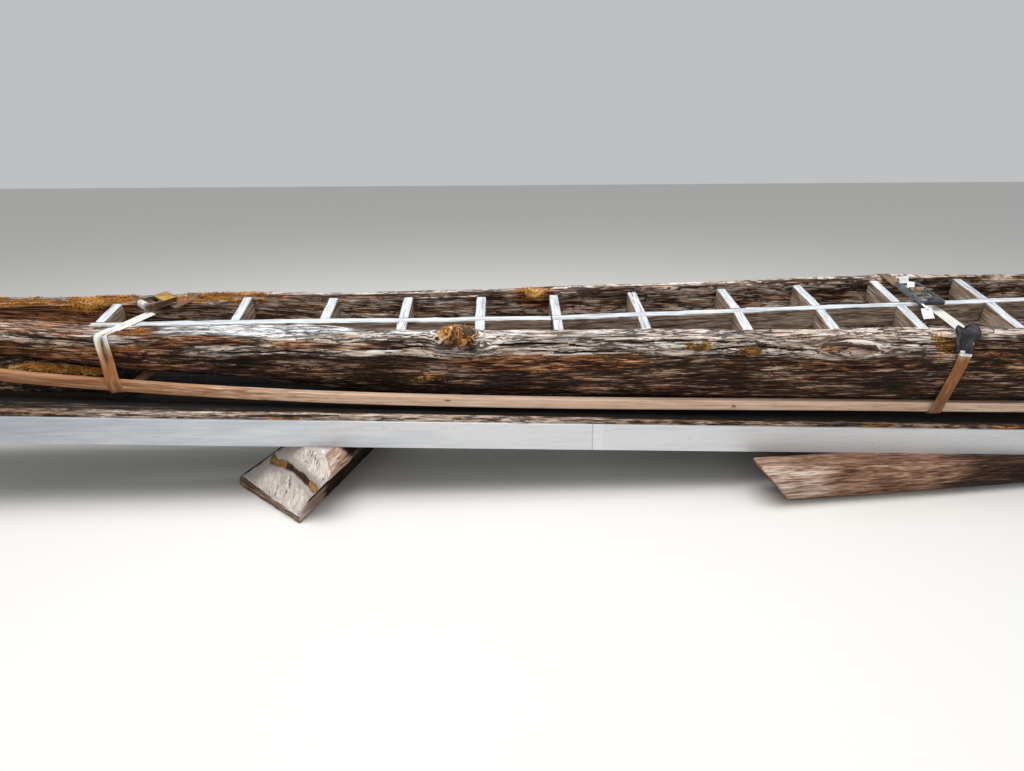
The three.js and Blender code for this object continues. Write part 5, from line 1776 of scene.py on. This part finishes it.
# %% Its pale lining and the bare tags
LINING_MM, LINING_HALF_THICK, LINING_SUNK = [[-24, 3.5], [-8, 5], [8, 5], [24, 3.5]], 2.4, 2.0
LINING_STATIONS, LINING_DROP = 6, 0.012
tag_vinyl = moulded("white_vinyl_tag", ("#e2e2e0", "#f2f2f1", "#fbfbfb"), 0.5)
lower_end = slice(None, LINING_STATIONS) if first_is_lower else slice(-LINING_STATIONS, None)
hem_way, hem_across, hem_out = (rows[lower_end] for rows in (pad_way, pad_across, pad_out))
fall = Vector((hem_way[0] - hem_way[-1]) * (1 if first_is_lower else -1))
hem_way = hem_way + np.array(fall.normalized()) * LINING_DROP
hem_line = thick_line(smooth_line(np.array(LINING_MM), 20), LINING_HALF_THICK)
rings = (hem_way[:, None] + hem_across[:, None] * (hem_line[None, :, :1] * MM)
         + hem_out[:, None] * ((hem_line[None, :, 1:] - LINING_SUNK) * MM))
points, grain, faces = loft(rings, rings, caps=())
piece("edge_pad_lining", points, faces, tag_vinyl, "strap_webbing", sharp=60, grain=grain)

TAGS_MM = [
    # across, along and up in the ratchet's frame, width, height, tilt and turn in degrees
    (-6, 88, 24, 42, 46, 52, 8), (-4, 36, 26, 28, 36, 42, -14), (-46, -194, 8, 46, 44, 45, 8),
    (-46, -166, 25, 9, 40, 6, 4),
]


def tag(row, seed):
    """A bare label of thin vinyl that curls a little."""
    x, y, z, wide, tall, tilt, turned = row
    u = np.linspace(-wide / 2, wide / 2, 9)
    v = np.linspace(-tall / 2, tall / 2, 12)
    curl = ((v / tall) ** 2 * 9 + np.sin(v / 11 + seed) * 1.2)[:, None] + 0 * u
    sheet = np.stack([u[None] + 0 * curl, v[:, None] + 0 * curl, curl], axis=-1)
    under = sheet - np.array([0, 0, 0.7])
    rings = np.concatenate([sheet, under[:, ::-1]], axis=1) * MM
    points, grain, faces = loft(rings, rings, caps=())
    matrix = (Matrix.Translation(Vector((x, y, z)) * MM) @ Matrix.Rotation(math.radians(turned), 4, "Z")
              @ Matrix.Rotation(math.radians(tilt), 4, "X"))
    return placed(points, matrix), grain, faces


set_piece("bare_tags", [tag(row, seed) for seed, row in enumerate(TAGS_MM)], RATCHET_PLACES["right"],
          tag_vinyl, "strap_webbing")

# %% [markdown]
# ## Moss
# Dry golden moss grows where water stands: on the burl, along the far gunwale, on the log under the
# bow. A texture alone stays flat, so Geometry Nodes scatter small tufts over the pieces. A tuft is
# a few curved blades, some 8 mm high. That is coarser than real moss, because nothing finer would
# show. The seed is fixed.

# %% A tuft of moss
def tuft_mesh():
    """A few curved blades that spread from one foot."""
    random = np.random.default_rng(11)
    points, faces = [], []
    for i in range(5):
        turn = i * 1.26 + random.uniform(-0.5, 0.5)
        spread, high = random.uniform(1.8, 4.4), random.uniform(3.5, 7.5)
        ahead = np.array([math.cos(turn), math.sin(turn), 0])
        aside = np.array([-math.sin(turn), math.cos(turn), 0])
        start = len(points)
        for t, wide in ((0.0, 0.8), (0.6, 0.6)):
            middle = ahead * spread * t ** 1.5 + np.array([0, 0, high * t])
            points += [(middle - aside * wide) * MM, (middle + aside * wide) * MM]
        points.append((ahead * spread * 1.5 + np.array([0, 0, high * 0.85])) * MM)
        faces += [(start, start + 1, start + 3, start + 2), (start + 2, start + 3, start + 4)]
    mesh = bpy.data.meshes.new("tuft")
    mesh.from_pydata([tuple(p) for p in points], [], faces)
    return mesh


tuft = bpy.data.objects.new("tuft", tuft_mesh())
print("faces in a tuft:", len(tuft.data.polygons))

# %% [markdown]
# ### Its colour
# Moss near the bow is dry and golden, and browner in the rotten spots farther back. A fine noise
# gives each tuft a tone of its own, and a wide one makes patches.

# %% Its colour
def moss_material():
    """Dry moss: gold near the bow, browner in the rotten spots farther back, no gloss."""
    made, tree, shader = blank("dry_golden_moss")
    place = add(tree, "ShaderNodeTexCoord").outputs["Object"]
    cloud = add(tree, "ShaderNodeTexNoise", {"Vector": place, "Scale": 260.0, "Detail": 3.0})
    wide = add(tree, "ShaderNodeTexNoise", {"Vector": place, "Scale": 14.0, "Detail": 3.0})
    mixed = add(tree, "ShaderNodeMath", {0: cloud, 1: wide}, operation="ADD")
    tone = add(tree, "ShaderNodeMapRange", {"Value": mixed, "From Min": 0.72, "From Max": 1.3})
    golden = paint(tree, tone, ("#4a2a0c", "#a0641f", "#d9953a", "#f5cf85"))
    brown = paint(tree, tone, ("#1e1207", "#4d3415", "#8a662f", "#cfae72"))
    along_x = add(tree, "ShaderNodeSeparateXYZ", {"Vector": place}).outputs["X"]
    side = add(tree, "ShaderNodeMapRange", {"Value": along_x, "From Min": -0.45, "From Max": 0.3,
                                            "To Max": 0.8})
    shade = add(tree, "ShaderNodeMix", {0: side, 6: golden, 7: brown}, data_type="RGBA")
    feed(tree, shader, {"Base Color": shade, "Roughness": 0.95})
    return made


moss_finish = moss_material()
print("nodes in the moss:", len(moss_finish.node_tree.nodes))

# %% [markdown]
# ### The moss grows
# The tree asks the moss attribute how many tufts a face carries, and turns and scales each one.

# %% The moss grows
TUFTS_PER_SQUARE_METRE = {"hull_log": 60000, "bow_log_worn": 45000}


def scatter_tree():
    """Geometry Nodes: tufts on the faces, as dense as an attribute says."""
    tree, given = started_tree("moss_scatter", Ground="Geometry", Tuft="Object",
                               Per_square_metre="Float", Finish="Material")
    share = add(tree, "GeometryNodeInputNamedAttribute", {"Name": "moss"}, data_type="FLOAT")
    thick = add(tree, "ShaderNodeMapRange", {"Value": share.outputs[0], "From Min": 0.45,
                                             "From Max": 0.9})
    dense = add(tree, "ShaderNodeMath", {0: thick, 1: given.outputs["Per square metre"]},
                operation="MULTIPLY")
    spots = add(tree, "GeometryNodeDistributePointsOnFaces",
                {"Mesh": given.outputs["Ground"], "Density": dense.outputs[0], "Seed": 7},
                distribute_method="RANDOM")
    tuft = add(tree, "GeometryNodeObjectInfo", {"Object": given.outputs["Tuft"]})
    spin = add(tree, "FunctionNodeRandomValue", {2: 0.0, 3: 6.28, "Seed": 3}, data_type="FLOAT")
    size = add(tree, "FunctionNodeRandomValue", {2: 0.5, 3: 1.5, "Seed": 5}, data_type="FLOAT")
    turned = add(tree, "FunctionNodeRotateEuler",
                 {0: spots.outputs["Rotation"], "Angle": spin.outputs[1]},
                 rotation_type="AXIS_ANGLE", space="LOCAL")
    tufts = add(tree, "GeometryNodeInstanceOnPoints",
                {"Points": spots.outputs["Points"], "Instance": tuft.outputs["Geometry"],
                 "Rotation": turned.outputs[0], "Scale": size.outputs[1]})
    whole = add(tree, "GeometryNodeRealizeInstances", {"Geometry": tufts})
    done = add(tree, "GeometryNodeSetMaterial", {"Geometry": whole, "Material": given.outputs["Finish"]})
    add(tree, "NodeGroupOutput", {0: done})
    return tree


moss_tree = scatter_tree()
for ground, density in TUFTS_PER_SQUARE_METRE.items():
    made = grown("moss", bpy.data.objects[ground].data.copy(), moss_tree, Tuft=tuft,
                 **{"Per square metre": float(density), "Finish": moss_finish})
    points, faces = arrays(made)
    if len(points):
        piece(f"{ground}_moss", points, faces, moss_finish, "hull_wood")
        print(ground, "moss triangles:", sum(len(face) - 2 for face in faces))
bpy.data.objects.remove(tuft)

# %% [markdown]
# ## Light and floor
# Soft daylight comes from above and a little from behind the camera, as from a big softbox, and
# the pale surroundings fill the shadows. The floor only catches the shadow, so it is stage and
# not part of the object.

# %% Light and floor
def soft_light(name, place, aim, size, power):
    lamp = linked(name, bpy.data.lights.new(name, "AREA"))
    lamp.data.size = size
    lamp.data.energy = power
    lamp.location = place
    lamp.rotation_euler = (Vector(aim) - Vector(place)).to_track_quat("-Z", "Y").to_euler()


soft_light("sky", (-0.6, -0.4, 5.2), (0, 0, 0.4), 5.0, 330)
soft_light("front", (-1.0, -6.0, 2.8), (0, 0, 0.4), 3.5, 75)
world = bpy.data.worlds.new("studio")
bpy.context.scene.world = world
world.use_nodes = True
feed(world.node_tree, world.node_tree.nodes["Background"], {"Color": colour("#eef0f2"), "Strength": 0.6})
bpy.context.scene.view_settings.view_transform = "Standard"

floor_finish, floor_tree, floor_shader = blank("pale_studio_floor")
feed(floor_tree, floor_shader, {"Base Color": colour("#d8d6d2"), "Roughness": 0.9})
floor_mesh = bpy.data.meshes.new("floor")
floor_mesh.from_pydata([(-30, -30, 0), (30, -30, 0), (30, 30, 0), (-30, 30, 0)], [], [(0, 1, 2, 3)])
floor_mesh.materials.append(floor_finish)
floor = linked("floor", floor_mesh)
floor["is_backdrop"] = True
print("lights:", len(bpy.data.lights))

# %% Size and end
low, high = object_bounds()
grow = [round(high[i] - low[i] - cad_high[i] + cad_low[i], 4) for i in range(3)]
print("grown by:", grow)
